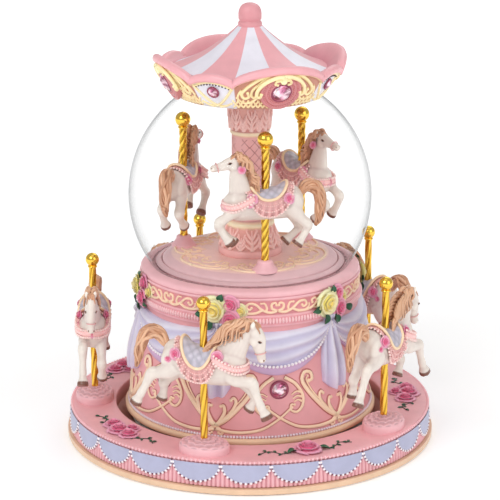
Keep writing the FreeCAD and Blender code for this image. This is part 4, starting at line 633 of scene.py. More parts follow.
# Forward, side, up, half width and half depth, from the pole at belly height
OUTER_FIGURE = {
    "body": [(-16.6, 0, 10.2, 0.8, 1.2), (-15.4, 0, 10.2, 3.6, 4.8), (-12.5, 0, 10.3, 5.5, 7.2),
             (-8.5, 0, 9.4, 5.9, 7.6), (-4, 0, 7.9, 5.8, 7.2), (1, 0, 7.2, 5.7, 6.9), (6, 0, 7.4, 5.9, 7.2),
             (10.5, 0, 8.2, 5.8, 7.5), (14.2, 0, 9.0, 4.8, 6.4), (16.6, 0, 9.4, 2.6, 3.6),
             (17.3, 0, 9.5, 0.8, 1.2)],
    "neck": [(7.0, 0, 8.5, 3.8, 5.8), (10.4, 0, 12.8, 3.7, 6.4), (12.8, 0, 16.8, 3.1, 5.4),
             (15.2, 0, 20.4, 2.6, 4.4), (17.8, 0, 23.2, 2.2, 3.3), (20.0, 0, 24.2, 1.6, 2.2)],
    "head": [(19.0, 0, 25.0, 1.2, 1.4), (20.8, 0, 23.6, 2.1, 2.6), (21.8, 0, 20.6, 2.3, 3.2),
             (22.4, 0, 17.4, 2.0, 2.7), (22.9, 0, 14.8, 1.6, 2.0), (23.3, 0, 12.9, 1.55, 1.85),
             (23.6, 0, 11.4, 1.25, 1.4), (23.7, 0, 10.8, 0.5, 0.6)],
    "legs": [
        [(10.5, -2.8, 7.0, 2.9, 4.0), (13.8, -3.4, 4.4, 2.5, 3.1), (17.4, -3.7, 3.6, 1.9, 2.3),
         (20.6, -3.8, 3.4, 1.55, 1.8), (21.6, -3.8, 0.8, 1.25, 1.4), (22.9, -3.8, -2.6, 1.05, 1.15),
         (24.2, -3.8, -5.8, 1.2, 1.3), (24.9, -3.8, -7.2, 1.1, 1.2), (26.0, -3.8, -9.0, 1.6, 1.65),
         (26.9, -3.8, -10.7, 1.8, 1.9)],
        [(11.0, 2.8, 5.5, 2.8, 3.6), (14.0, 3.4, 1.6, 2.3, 2.8), (17.0, 3.7, -1.6, 1.8, 2.0),
         (19.4, 3.8, -4.0, 1.5, 1.6), (19.2, 3.8, -6.2, 1.1, 1.2), (18.3, 3.8, -8.2, 1.15, 1.2),
         (17.6, 3.8, -9.4, 1.5, 1.55), (16.9, 3.8, -10.7, 1.7, 1.8)],
        [(-10.5, -2.6, 8.0, 3.6, 5.2), (-13.8, -3.3, 5.4, 2.9, 3.7), (-17.2, -3.7, 4.4, 2.1, 2.5),
         (-19.8, -3.8, 3.8, 1.6, 1.9), (-21.4, -3.8, 1.2, 1.25, 1.4), (-23.0, -3.8, -2.0, 1.05, 1.15),
         (-24.6, -3.8, -4.9, 1.2, 1.3), (-25.3, -3.8, -6.2, 1.1, 1.2), (-26.3, -3.8, -7.9, 1.6, 1.65),
         (-27.1, -3.8, -9.5, 1.8, 1.9)],
        [(-11.0, 2.6, 7.0, 3.6, 5.0), (-13.2, 3.3, 2.8, 2.8, 3.4), (-15.8, 3.7, -0.2, 2.0, 2.3),
         (-17.6, 3.8, -2.4, 1.55, 1.7), (-17.6, 3.8, -4.6, 1.1, 1.2), (-17.9, 3.8, -6.8, 1.15, 1.2),
         (-18.3, 3.8, -8.2, 1.5, 1.55), (-18.7, 3.8, -9.7, 1.75, 1.8)],
    ],
    "muscles": [((-11.8, 3.4, 9.6), (4.6, 2.6, 5.6)), ((9.6, 3.6, 8.4), (3.8, 2.2, 5.4)),
                ((14.2, 2.3, 7.6), (2.6, 2.4, 3.8)), ((21.0, 1.3, 19.8), (2.1, 1.25, 2.4)),
                ((23.5, 0.8, 12.2), (1.2, 0.9, 1.3)), ((23.2, 1.55, 20.8), (0.8, 0.6, 0.7))],
    "ears": [((20.0, 1.3, 25.2), (20.8, 1.9, 27.9))],
    "eye": (23.2, 2.05, 19.7),
    "nostril": (24.5, 1.1, 12.2),
    "nose_strap": (22.9, 14.8, 1.8, 2.15, -78.0),
    "crest": [(20.6, 26.4), (17.0, 26.8), (13.2, 25.2), (9.6, 21.8), (7.2, 18.2), (5.8, 15.2)],
    "lock": 9.5,
    "tail": [(-15.0, 14.6), (-17.2, 18.4), (-20.8, 20.0), (-24.2, 17.6), (-26.2, 12.4), (-27.0, 7.8),
             (-27.8, 4.6)],
    "tail_spread": 2.3,
    "seat": (-1.4, 6.9, 84.0),
    "cloth": 50.0,
    "collar": [(5.6, 5.7, 12.6), (9.4, 6.2, 10.6), (13.6, 5.4, 9.0), (16.4, 3.0, 8.6), (17.4, 0.0, 8.6)],
    "roses": [((-9.8, 5.4, 13.2), 2.0), ((7.0, 5.2, 13.4), 1.9), ((-12.8, 5.2, 11.0), 1.3),
              ((10.4, 6.0, 10.2), 1.3), ((15.2, 4.4, 8.8), 1.2), ((17.4, 0.01, 8.6), 1.4)],
}


def flowing(points, count):
    """A smooth curve through given points, evenly stepped: each stretch between two points is a cubic
    whose slope at a point is half the step between that point's neighbours."""
    points = np.asarray(points, float)
    last = len(points) - 1
    spot = np.linspace(0.0, last, count)
    start = np.minimum(spot.astype(int), last - 1)
    t = (spot - start)[:, None]
    slope = np.gradient(points, axis=0)
    p0, p1, m0, m1 = points[start], points[start + 1], slope[start], slope[start + 1]
    return ((2 * t ** 3 - 3 * t ** 2 + 1) * p0 + (t ** 3 - 2 * t ** 2 + t) * m0
            + (3 * t ** 2 - 2 * t ** 3) * p1 + (t ** 3 - t ** 2) * m1)


def limb(sections, rings=28, sides=18):
    """Ovals square to the path of their centres, upright on their sides, closed at both ends."""
    flow = flowing(sections, rings)
    centre, half_width, half_depth = flow[:, :3], flow[:, 3:4], flow[:, 4:]
    along = unit(np.cross(np.gradient(centre, axis=0), SIDEWAYS))
    turn = turns(sides)
    across = SIDEWAYS * (half_width * np.cos(turn))[..., None]
    upright = along[:, None] * (half_depth * np.sin(turn))[..., None]
    ends = np.repeat(centre[[0, -1], None], sides, axis=1)
    rows = centre[:, None] + across + upright
    return surface(np.concatenate([ends[:1], rows, ends[1:]]), np.zeros(3), around=True)


def mirrored(spot):
    """The same spot on both sides of the figure."""
    return [np.array(spot) * flip for flip in BOTH_SIDES]


def skin(parts):
    """Merges overlapping closed surfaces into one even skin of quads and smooths it a little."""
    points, quads, _ = joined(parts)
    mesh = bpy.data.meshes.new("skin")
    mesh.from_pydata(points.tolist(), [], quads.tolist())
    model = bpy.data.objects.new("skin", mesh)
    scene.collection.objects.link(model)
    merge = model.modifiers.new("merge", "REMESH")
    merge.mode = "VOXEL"
    merge.voxel_size = SKIN_STEP
    soften = model.modifiers.new("soften", "SMOOTH")
    soften.factor = 0.5
    soften.iterations = SKIN_SMOOTHING
    done = bpy.data.meshes.new_from_object(model.evaluated_get(bpy.context.evaluated_depsgraph_get()))
    merged = np.empty(len(done.vertices) * 3)
    done.vertices.foreach_get("co", merged)
    corners = np.empty(len(done.loops), dtype=int)
    done.loops.foreach_get("vertex_index", corners)
    bpy.data.objects.remove(model)
    bpy.data.meshes.remove(mesh)
    bpy.data.meshes.remove(done)
    return merged.reshape(-1, 3), corners.reshape(-1, 4)


def figure_skin(figure):
    """The horse's body, painted white with warm painted shade in its hollows and painted highlight on its
    ridges, brown hooves and a warm muzzle, which fades out by the root of the distance from its middle."""
    solids = [limb(figure["body"], 40, 26), limb(figure["neck"]), limb(figure["head"], 32)]
    for leg in figure["legs"]:
        sections = np.array(leg)
        sections[3:, 3:] *= LEG_STOUTNESS
        solids.append(limb(sections, 36))
    for centre, radii in figure["muscles"]:
        solids += [surface(ball(1.0, 13, 16) * np.array(radii) + spot, np.zeros(3), around=True)
                   for spot in mirrored(centre)]
    ear_size = 0.95 * np.sin(np.linspace(0.9, 3.0, 8)) + 0.12
    for foot, tip in figure["ears"]:
        solids += [tube(np.linspace(foot, tip, 8) * flip, ear_size, np.zeros(3), 10, FORWARD)
                   for flip in BOTH_SIDES]
    points, quads = skin(solids)
    paint = np.broadcast_to(tint(HORSE_WHITE), points.shape).copy()
    for leg in figure["legs"]:
        ankle, end = np.array(leg[-2][:3]), np.array(leg[-1][:3])
        down = unit(end - ankle)
        depth = (points - ankle) @ down
        off = np.linalg.norm(points - ankle - depth[:, None] * down, axis=1)
        hoof = np.clip((depth + 0.15) / 0.3, 0.0, 1.0) * (off < 3.0) * (depth < 4.0)
        paint += (tint(HOOF) - paint) * hoof[:, None]
    gap = np.linalg.norm(points - np.array(figure["head"][-3][:3]), axis=1) / 2.4
    paint += (tint(HORSE_SHADE) - paint) * (0.55 * np.clip(1.0 - gap, 0.0, 1.0) ** 0.5)[:, None]
    # Painted shade in hollows and painted highlight on ridges.
    return points, quads, relief_shaded(points, quads, paint, 3.2)


def figure_face(figure):
    """Eyes with a lid line, nostrils and a strap round the nose."""
    parts = []
    for flip in BOTH_SIDES:
        eye, nostril = np.array(figure["eye"]) * flip, np.array(figure["nostril"]) * flip
        parts.append(surface(ball(1.0, 9, 12) * np.array([0.62, 0.3, 0.42]) + eye, tint(EYE), around=True))
        lid = eye + flowing([(-0.9, 0.0, 0.1), (0.0, 0.28, 0.55), (0.9, 0.0, -0.1)], 8) * flip
        parts.append(tube(lid, 0.17, tint(DARK_BROWN_AND_HAIR_SHADE), 6))
        hole = ball(1.0, 7, 8) * np.array([0.4, 0.25, 0.4]) + nostril
        parts.append(surface(hole, tint(DARK_BROWN_AND_HAIR_SHADE), around=True))
    x, z, half_width, half_depth, tilt = figure["nose_strap"]
    turn = np.linspace(0.0, 2.0 * np.pi, 33)
    lean = math.radians(tilt + 90.0)
    strap = np.stack([x + half_depth * np.sin(turn) * math.cos(lean), half_width * np.cos(turn),
                      z + half_depth * np.sin(turn) * math.sin(lean)], axis=-1)
    parts.append(tube(strap, 0.24, tint(CLOTH), 6, (math.sin(lean), 0.0, -math.cos(lean))))
    return parts


def hair_tone(shade, draw):
    """A lock's paint: most of its own shade, and some of the middle one at a strength drawn by chance."""
    return 0.6 * tint(shade) + 0.4 * tint(HAIR) * draw.uniform(0.8, 1.1)


def figure_hair(figure, draw):
    """Mane and tail in wavy locks, painted brown in the depth as painted shade and pale outside as painted
    highlight. A mane lock rises from the crest, then falls back along the neck; a tail lock keeps its own
    place round the tail's line and waves along it. Four short locks fall over the brow."""
    parts = []
    share = np.linspace(0.0, 1.0, 18)
    for k, (x, z) in enumerate(flowing(figure["crest"], MANE_ROWS)):
        length = figure["lock"] * (0.75 + 0.5 * math.sin(math.pi * k / (MANE_ROWS - 1.0)))
        for side in (-1.0, 1.0):
            # Layers from the neck outwards: dark brown as painted shade, the middle tone, pale as painted
            # highlight.
            for layer, shade in enumerate((DARK_BROWN_AND_HAIR_SHADE, HAIR, HAIR_HIGHLIGHT)):
                reach = length * (0.72 + 0.2 * layer)
                phase = 0.8 * k + draw.uniform(0.0, 3.0)
                wave = 0.8 * np.sin(2.0 * np.pi * 1.9 * share + phase) * share ** 0.5
                path = np.stack([
                    x - reach * (0.72 * share ** 0.9) + wave * 0.8,
                    side * (0.3 + (2.2 + 0.35 * layer) * np.sin(share * np.pi / 2.0) + 0.3 * wave),
                    z + (0.8 + 0.4 * layer) * np.sin(np.pi * np.minimum(share * 1.5, 1.0))
                    - reach * 0.75 * share ** 1.7 - wave,
                ], axis=-1)
                size = (0.66 + 0.22 * draw.random() - 0.06 * layer) * (1.0 - 0.75 * share ** 2)
                parts.append(tube(path, size, hair_tone(shade, draw), 6, SIDEWAYS))
    x, z = figure["crest"][0]
    for k in range(4):
        path = np.stack([x + 2.4 * share + 0.2 * np.sin(8.0 * share + k),
                         1.3 * (k / 1.5 - 1.0) * (0.3 + share),
                         z + 0.6 * np.sin(np.pi * share) - 3.4 * share ** 1.6], axis=-1)
        size = 0.7 * (1.0 - 0.7 * share ** 2)
        parts.append(tube(path, size, tint(HAIR) * (0.85 + 0.1 * k), 6, SIDEWAYS))
    line = flowing([(x, 0.0, z) for x, z in figure["tail"]], 26)
    share = np.linspace(0.0, 1.0, 26)
    upright = np.cross(unit(np.gradient(line, axis=0)), SIDEWAYS)
    for k in range(TAIL_LOCKS):
        depth = math.sqrt((k + 0.5) / TAIL_LOCKS)
        spread = depth * figure["tail_spread"] * (0.25 + np.sin(np.pi * share ** 0.7) * 0.85)
        sway = 2.4 * k + 1.1 * np.sin(2.0 * np.pi * (1.7 * share + 0.07 * k)) * share ** 0.6
        path = line + upright * (spread * np.cos(sway))[:, None] + SIDEWAYS * (spread * np.sin(sway))[:, None]
        size = (0.72 + 0.16 * math.sin(3.0 * k)) * (1.0 - 0.8 * share ** 3)
        # Locks near the tail's core are dark brown as painted shade; some outer ones are pale as painted
        # highlight.
        shade = HAIR_HIGHLIGHT if k % 3 == 2 and depth > 0.5 else HAIR if depth > 0.6 else DARK_BROWN_AND_HAIR_SHADE
        parts.append(tube(path, size, hair_tone(shade, draw), 6, SIDEWAYS))
    return parts


def figure_tack(figure, draw):
    """Saddle, cloth, collar and roses. The saddle is an oval quilted patch laid over the barrel: forward by
    the cosine and down the sides by the sine of a turn; the cloth is the ring outside it, with ruffles.
    The collar is a cord between two rows of lace beads."""
    body = np.array(figure["body"])
    middle, reach, drop = figure["seat"]

    def laid(forward, lean, proud):
        """A point on the barrel at a place along it and an angle from its top, raised by an amount."""
        level, wide, deep = (np.interp(forward, body[:, 0], body[:, k]) for k in (2, 3, 4))
        lean = np.radians(lean)
        return np.stack(np.broadcast_arrays(forward, (wide + proud) * np.sin(lean),
                                            level + (deep + proud) * np.cos(lean)), axis=-1)

    def pommel(forward):
        """How far a place lies towards the raised front or back of the saddle."""
        return np.clip(np.abs(forward - middle) / reach - 0.45, 0.0, 1.0)

    def outside(turn, out, proud):
        """A point on the cloth at a turn, a share of the way to its hem and a height."""
        return laid(middle + (reach + CLOTH_REACH * out) * np.cos(turn),
                    (drop + figure["cloth"] * out) * np.sin(turn), proud)

    turn = turns(120)
    size = np.linspace(0.0, 1.0, 24)[:, None]
    forward = middle + reach * size * np.cos(turn)
    rise = pommel(forward)
    lean = drop * size * np.sin(turn)
    quilt = np.abs(np.sin(0.9 * forward + 0.09 * lean) * np.sin(0.9 * forward - 0.09 * lean)) ** 0.5
    seat = laid(forward, lean, 0.7 + 0.35 * (1.0 - size ** 2) + 3.2 * rise ** 1.4 + 0.3 * quilt)
    # The seat is painted darker down its quilting grooves, as painted shade, and lighter on its raised ends,
    # as painted highlight.
    parts = [surface(seat, tint(SEAT) * (0.62 + 0.38 * quilt + 0.15 * rise)[..., None], around=True)]
    turn = np.linspace(0.0, 2.0 * np.pi, 121)
    forward = middle + reach * np.cos(turn)
    edge = laid(forward, drop * np.sin(turn), 0.8 + 3.2 * pommel(forward) ** 1.4)
    parts.append(tube(edge, 0.62, tint(CREAM), 8, (1.0, 0.1, 0.0)))
    down = np.linspace(0.0, 1.0, 12)[:, None]
    turn = turns(240)
    ruffle = np.sin(22.0 * turn) * down ** 1.2
    ends = np.abs(np.cos(turn)) ** 6
    cloth = outside(turn, down, 0.45 + 0.5 * ruffle + 0.35 * down + 1.0 * ends * (1.0 - down))
    # The cloth is painted darker in the ruffles' hollows and lighter on their crests, as painted shade and
    # highlight, with faint bands down it; its underside is darker, as painted shade.
    fold = 0.92 + 0.14 * ruffle + 0.06 * np.cos(6.0 * np.pi * down)
    parts.append(surface(cloth[::-1], tint(CLOTH) * fold[::-1, :, None], around=True))
    parts.append(surface(outside(turn, down, -0.3), tint(CLOTH) * 0.7, around=True))
    for out, radius in ((1.0, 0.5), (0.66, 0.36), (0.34, 0.3)):
        parts.append(pearls(outside(turns(HEM_BEADS), out, 0.95), radius, tint(LACE)))
    for flip in BOTH_SIDES:
        collar = flowing(figure["collar"], 40) * flip
        parts.append(tube(collar, 1.3, tint(CLOTH), 9))
        for first, lower, radius in ((0, -1.6, 0.62), (1, 0.0, 0.5), (0, 1.4, 0.55)):
            parts.append(pearls(collar[first::3] + np.array([0.4, 0.8, lower]) * flip, radius, tint(LACE)))
    for spot, radius in figure["roses"]:
        for x, y, z in mirrored(spot):
            outward = (1.0, 0.0, 0.1) if abs(y) < 0.1 else (0.25 * np.sign(x), np.sign(y), 0.25)
            parts.append(rose(np.array([x, y, z]), frame_on(outward), radius, ROSE_PINK, ROSE_PALE,
                              draw.random(), (5, 4)))
    return parts


def stand(part, circle, angle, level, spin=0.0):
    """A figure's surfaces, moved to its pole and turned to face round the circle."""
    points, quads, paint = part
    ahead, aside = ring_points(1.0, angle + spin + 90.0, 0.0), ring_points(-1.0, angle + spin, 0.0)
    return points @ np.stack([ahead, aside, UP]) + ring_points(circle, angle, level), quads, paint


def whole_figure(figure, seed):
    """All surfaces of one horse about its pole."""
    draw = np.random.default_rng(seed)
    parts = [figure_skin(figure)] + figure_face(figure)
    # Hair and tack get painted shade in their hollows and painted highlight on their ridges.
    for group, relief_shading in ((figure_hair(figure, draw), 2.6), (figure_tack(figure, draw), 1.2)):
        points, quads, paint = joined(group)
        parts.append((points, quads, relief_shaded(points, quads, paint, relief_shading)))
    return joined(parts)


OUTER_BELLY = DECK_LEVEL + 27.9
OUTER_WAVE = 5.2
horse_paint = finish("horse_paint", roughness=0.34, coat=0.3, mottle=0.03, grain=900.0, bump=0.04)
outer_figure = whole_figure(OUTER_FIGURE, 3)
for k, angle in enumerate(outer_angles, start=1):
    level = OUTER_BELLY - OUTER_WAVE * (1.0 - math.cos(math.radians(angle))) / 2.0
    put(f"horse_figure_{k}", [stand(outer_figure, OUTER_CIRCLE, angle, level)], horse_paint, "platform",
        "horse_resin", f"outer_horse_{k}")

# Drum: a cast resin shell with a cream flange, a pink wall that leans in, a frieze band and a rolled rim
# that holds the globe in pink cement. Painted, with lines of beads cast at its foot and under the frieze.
WALL_PINK = (236, 168, 172)
FRIEZE_PINK = (228, 150, 158)
BAND_PINK = (232, 158, 166)
BEAD_WHITE = (244, 230, 240)
BEAD_PINK = (250, 204, 208)
BAYS = 6
FIRST_BAY = 14.0
drum_outline, drum_paint = outlined(
    # From the foot inside the flange up the wall, over the rim and the cement, then back down inside
    (CREAM, [(49.6, 11.4), (52.0, 11.4), (52.5, 11.9), (52.5, 13.2), (52.1, 13.7), (51.2, 13.9)]),
    # Painted shade in the crease between the flange and the wall.
    (PINK_SHADE, [(50.7, 14.0)]),
    (WALL_PINK, [(50.5, 14.4), (49.0, 26.0), (47.6, 37.0), (46.1, 48.0), (45.0, 57.0), (45.0, 58.7)]),
    (LIGHT_PINK, [(45.5, 59.1)]),
    (BAND_PINK, [(45.9, 60.0), (45.9, 62.8)]),
    (LIGHT_PINK, [(45.6, 63.4)]),
    (FRIEZE_PINK, [(45.0, 63.7), (45.0, 69.3)]),
    (LIGHT_PINK, [(45.3, 69.7), (45.7, 70.1), (45.4, 70.5)]),
    # Painted shade in the groove between the bead roll and the rim.
    (PINK_SHADE, [(44.9, 70.7)]),
    (LIGHT_PINK, [(45.2, 71.1), (45.2, 72.1), (44.7, 72.8), (43.7, 73.2), (42.7, 73.5), (42.0, 73.7),
                  (41.5, 73.65), (40.4, 73.6), (39.4, 73.6), (39.1, 73.4), (38.5, 72.6), (37.6, 71.4),
                  (36.9, 70.8)]),
    (PINK, [(36.9, 68.8), (32.0, 68.8), (32.0, 66.0), (42.2, 66.0), (47.8, 14.0)]))
drum_face = drum_outline[6:26]  # Outside, from the flange to the rim
bay_angles = evenly(BAYS, FIRST_BAY)
tail_angles = bay_angles + 180.0 / BAYS


def on_drum(centre, across, level, proud):
    """A place on the drum: an arc to the right of a centre angle, a level, and a height off the wall."""
    radius = np.interp(level, drum_face[:, 1], drum_face[:, 0])
    return ring_points(radius + proud, centre + np.degrees(across / radius), level)


drum_parts = [turned(drum_outline, drum_paint, 240, along=True),
              bead_row(250, 50.9, 14.5, 0.58, BEAD_WHITE),
              bead_row(216, 46.0, 61.4, 0.62, BEAD_PINK, 2.0)]
put("drum_wall", drum_parts, painted_resin, "base", "pink_resin", "drum_shell", relief_shading=0.4)

# Drum scrolls: raised cream scrollwork on the wall and the frieze, cast with the drum and picked out with
# a brush. Each stroke is a tapering rib along a smooth line, with a small eye where it curls in.
SCROLL_CREAM = (255, 219, 188)
SCROLL_SHADOW = (188, 112, 108)
WALL_STROKES = [
    # Arc from the tail's middle towards the gem and level for each point, then the rib's two radii
    ([(0.4, 19.0), (4.4, 21.6), (8.2, 25.4), (12.8, 31.0), (15.4, 36.0), (14.0, 39.3), (11.2, 38.6),
      (10.8, 36.0), (12.3, 35.4)], 1.2, 0.7),
    ([(5.0, 24.0), (9.6, 29.0), (12.2, 33.0), (13.4, 36.2), (12.6, 37.4)], 0.44, 0.32),
    ([(1.2, 19.4), (4.4, 22.2), (7.0, 25.6), (8.0, 28.6), (7.0, 30.2), (6.0, 29.2)], 1.0, 0.6),
    ([(0.6, 18.8), (2.2, 21.2), (3.5, 24.2), (3.1, 26.8), (2.0, 26.6)], 1.1, 0.6),
    ([(0.3, 17.4), (5.0, 16.5), (11.5, 16.4), (19.0, 17.7), (25.7, 21.6), (30.6, 25.6)], 0.92, 0.56),
    ([(22.6, 38.2), (18.4, 35.2), (15.6, 30.4), (16.0, 26.0), (18.6, 23.6), (21.2, 24.6), (20.9, 26.8),
      (19.5, 26.6)], 0.84, 0.48),
    ([(16.2, 31.4), (18.2, 31.8), (20.2, 30.8)], 0.60, 0.28),
    ([(16.0, 29.4), (18.0, 30.0), (19.8, 29.2)], 0.60, 0.28),
    ([(16.2, 27.6), (17.8, 28.4), (19.2, 27.9)], 0.56, 0.28),
    ([(0.0, 18.6), (1.9, 17.4), (3.1, 16.2), (2.5, 15.2), (1.4, 15.8)], 0.88, 0.48),
]
FRIEZE_STROKES = [
    # Arc from the middle of the bay
    ([(0.3, 65.2), (3.0, 64.6), (6.2, 65.8), (9.0, 68.2), (11.6, 68.4), (12.4, 66.8), (11.2, 65.9),
      (10.4, 66.7)], 0.62, 0.45),
    ([(0.3, 65.2), (2.2, 66.2), (2.4, 68.0), (1.0, 68.6), (0.5, 67.6)], 0.62, 0.43),
    ([(6.2, 65.8), (8.6, 64.6), (12.0, 64.4), (15.2, 65.2), (17.4, 67.2), (16.4, 68.7), (14.9, 68.1),
      (15.2, 67.0)], 0.62, 0.45),
    ([(4.6, 65.0), (4.4, 66.8), (5.2, 68.4), (6.6, 68.5)], 0.53, 0.38),
    ([(12.0, 64.4), (13.4, 65.6), (13.6, 66.8)], 0.50, 0.30),
    ([(15.2, 65.2), (17.6, 64.6), (19.2, 65.4)], 0.50, 0.33),
]
SCROLL_POINTS = 22


def strokes(lines, centre, place_on, mirror, points, colour=SCROLL_CREAM, edge=None):
    """Ribs along smooth lines of (arc, level) points, set half into a wall, and an eye at each far end. Where
    an edge colour is named, a wider rib of it sunk under each is a painted shadow round the rib."""
    parts = []
    for line, start, end in lines:
        path = flowing(line, points)
        spots = place_on(centre, mirror * path[:, 0], path[:, 1], 0.1)
        outward = spots * (1.0 - UP)
        size = np.linspace(start, end, points)
        parts += [tube(spots, size, tint(colour), 7, outward), pearls(spots[-1:], end * 1.3, tint(colour))]
        if edge is not None:
            sunk = spots - 0.75 * size[:, None] * unit(outward)
            parts.append(tube(sunk, size * 1.5, tint(edge), 7, outward))
    return parts


scroll_parts = []
for mirror in (-1.0, 1.0):
    for angle in tail_angles:
        # Wall scrolls get a darker sunk rib under them, a painted shadow round their edges.
        scroll_parts += strokes(WALL_STROKES, angle, on_drum, mirror, SCROLL_POINTS, edge=SCROLL_SHADOW)
    for angle in bay_angles:
        scroll_parts += strokes(FRIEZE_STROKES, angle, on_drum, mirror, SCROLL_POINTS)
put("drum_scrolls", scroll_parts, painted_resin, "base", "cream_resin", relief_shading=0.3)

# Swags: lavender drapery modelled on the drum, one swag across each bay with a pearl hem and a mauve
# band under it, part mauve paint and part painted shadow of the hem, and a pleated tail where two swags
# meet. Cast with the drum and painted.
SWAG_LIGHT = (230, 228, 242)
SWAG_FOLD_SHADE = (198, 192, 222)
UNDER_HEM_MAUVE = (206, 172, 206)
SWAG_TOP = 59.2
SWAG_DROP = 16.6
SWAG_HALF = 22.8
SWAG_FOLDS = 3.0
SWAG_PEARLS = 46
UNDER_HEM_DROP = 4.4
TAIL_TOP = 60.5
TAIL_END = 30.4
TUCK = -0.6


def swag_edge(across):
    """Level of a swag's lower edge: half an oval hung from its two corners."""
    return SWAG_TOP - SWAG_DROP * np.sqrt(np.maximum(1.0 - (0.992 * across) ** 2, 0.0))


def swag(centre):
    """A swag: its lines run from a nearly straight top to half an oval, and broad folds follow those lines
    and drift a little, deepest in the middle. The paint is darker in the folds' hollows and lighter on their
    crests, and greys towards the hem in the middle: painted shade and painted highlight. The first and last
    rows turn into the wall."""
    across = np.linspace(-1.0, 1.0, 65)
    down = np.linspace(0.0, 1.0, 46)[:, None]
    arch = np.sqrt(np.maximum(1.0 - (0.99 * across) ** 2, 0.0))
    top = SWAG_TOP - 2.4 * arch
    level = top + (swag_edge(across) - top) * down
    drift = 1.5 * np.sin(1.7 * across + 0.6) + 0.5 * np.sin(4.1 * across)
    fold = 0.5 - 0.5 * np.cos(2.0 * np.pi * SWAG_FOLDS * down ** 0.9 + drift)
    depth = (0.35 + 0.95 * arch) * np.clip(6.0 * down, 0.2, 1.0) * (1.0 - 0.45 * down)
    proud = 0.7 + 1.5 * np.sin(np.pi * down ** 0.7) + depth * fold
    proud[[0, -1]] = TUCK
    paint = blend(SWAG_FOLD_SHADE, SWAG_LIGHT, np.clip(0.3 + 0.7 * fold - 0.4 * down * arch, 0.0, 1.0))
    return surface(on_drum(centre, SWAG_HALF * across, level, proud)[::-1], paint[::-1])


def under_hem_band(centre):
    """A mauve band under a swag's hem, modelled as a second layer of cloth, that widens to the middle and is
    painted darker downwards: part mauve paint, part painted shadow of the hem.
    """
    across = np.linspace(-1.0, 1.0, 49)
    down = np.array([0.0, 0.3, 0.7, 0.93, 1.0, 1.0])[:, None]
    proud = np.array([0.5, 0.9, 1.0, 0.85, 0.5, TUCK])[:, None]
    level = swag_edge(across) + 1.0 - UNDER_HEM_DROP * np.sqrt(np.maximum(1.0 - across ** 2, 0.0)) * down
    points = on_drum(centre, 0.985 * SWAG_HALF * across, level, proud)
    return surface(points[::-1], (tint(UNDER_HEM_MAUVE) * (1.08 - 0.16 * down)[..., None])[::-1])


def tail(centre):
    """A tail: gathered at its top, wider and standing further out below, with two uneven pleats, and a
    round end. Its sides and end turn into the wall."""
    across = np.linspace(-1.0, 1.0, 49)
    down = np.concatenate([[0.0], np.linspace(0.0, 1.0, 40), [1.0]])[:, None]
    half = 2.2 + 3.5 * np.sin(np.pi / 2.0 * np.clip(down * 1.1, 0.0, 1.0)) ** 1.2
    pleat = 0.5 + 0.5 * np.cos(2.3 * np.pi * across + 0.9 + 0.9 * down)
    body = np.sqrt(np.maximum(1.0 - across ** 4, 0.0))
    proud = (1.6 + 2.6 * np.sin(np.pi * down ** 1.3 * 0.78)) * body * (0.62 + 0.5 * pleat)
    proud[[0, -1]] = TUCK
    proud[:, [0, -1]] = TUCK
    end = TAIL_END + 0.5 * (1.0 - pleat) + 3.6 * np.abs(across) ** 2.6
    level = TAIL_TOP + (end - TAIL_TOP) * down
    # Painted shade in the pleats' hollows and towards the sides, lighter on the pleats as painted highlight;
    # the lower end turns to the mauve under the hem.
    paint = blend(SWAG_FOLD_SHADE, SWAG_LIGHT, 0.1 + 0.9 * pleat * body)
    paint = paint + (tint(UNDER_HEM_MAUVE) - paint) * (np.clip(down - 0.72, 0.0, 1.0) * 1.6)[..., None]
    return surface(on_drum(centre, half * across, level, proud)[::-1], paint[::-1])


swag_parts = []
hem = np.cos(np.pi * (np.arange(SWAG_PEARLS) + 0.5) / SWAG_PEARLS)
for angle in bay_angles:
    hem_places = on_drum(angle, SWAG_HALF * hem, swag_edge(hem) + 0.15, 1.2)
    swag_parts += [swag(angle), under_hem_band(angle), pearls(hem_places, 0.68, tint(PEARL))]
swag_parts += [tail(angle) for angle in tail_angles]
put("drum_swags", swag_parts, painted_resin, "base", "pink_resin", relief_shading=0.5)

# Rose clusters: yellow and pink roses with dark leaves over each tail's knot, modelled and painted.
# Cast with the drum.
ROSE_GOLD = (255, 228, 132)
ROSE_CREAM = (255, 248, 204)
CLUSTER = [
    # Arc, level, height off the wall, radius, heart and edge colours
    (-1.6, 65.6, 0.4, 4.7, ROSE_GOLD, ROSE_CREAM), (4.6, 68.0, 0.0, 3.2, ROSE_PINK, ROSE_PALE),
    (5.0, 62.2, 0.2, 3.3, ROSE_PINK, ROSE_PALE), (8.6, 65.4, -0.4, 2.6, ROSE_GOLD, ROSE_CREAM),
]
CLUSTER_LEAVES = [
    # Arc, level, length, heading
    (-5.0, 64.4, 4.6, 195.0), (-2.4, 61.4, 4.4, -110.0), (2.2, 60.4, 4.6, -75.0), (8.6, 62.4, 4.2, -25.0),
    (0.6, 69.4, 3.2, 70.0),
]
cluster_parts = []
for angle in tail_angles:
    for arc, level, proud, radius, heart, edge in CLUSTER:
        axes = frame_on(ring_points(1.0, angle + 1.2 * arc, 0.0))
        place = on_drum(angle, arc, level, proud)
        cluster_parts.append(rose(place, axes, radius, heart, edge, rng.random()))
    axes = frame_on(ring_points(1.0, angle, 0.0))
    for arc, level, length, heading in CLUSTER_LEAVES:
        place = on_drum(angle, arc, level, 1.1)
        cluster_parts.append(leaf(place, axes, length, 3.0, LEAF_GREEN, heading, 0.12))
put("drum_roses", cluster_parts, painted_resin, "base", "pink_resin", relief_shading=0.5)

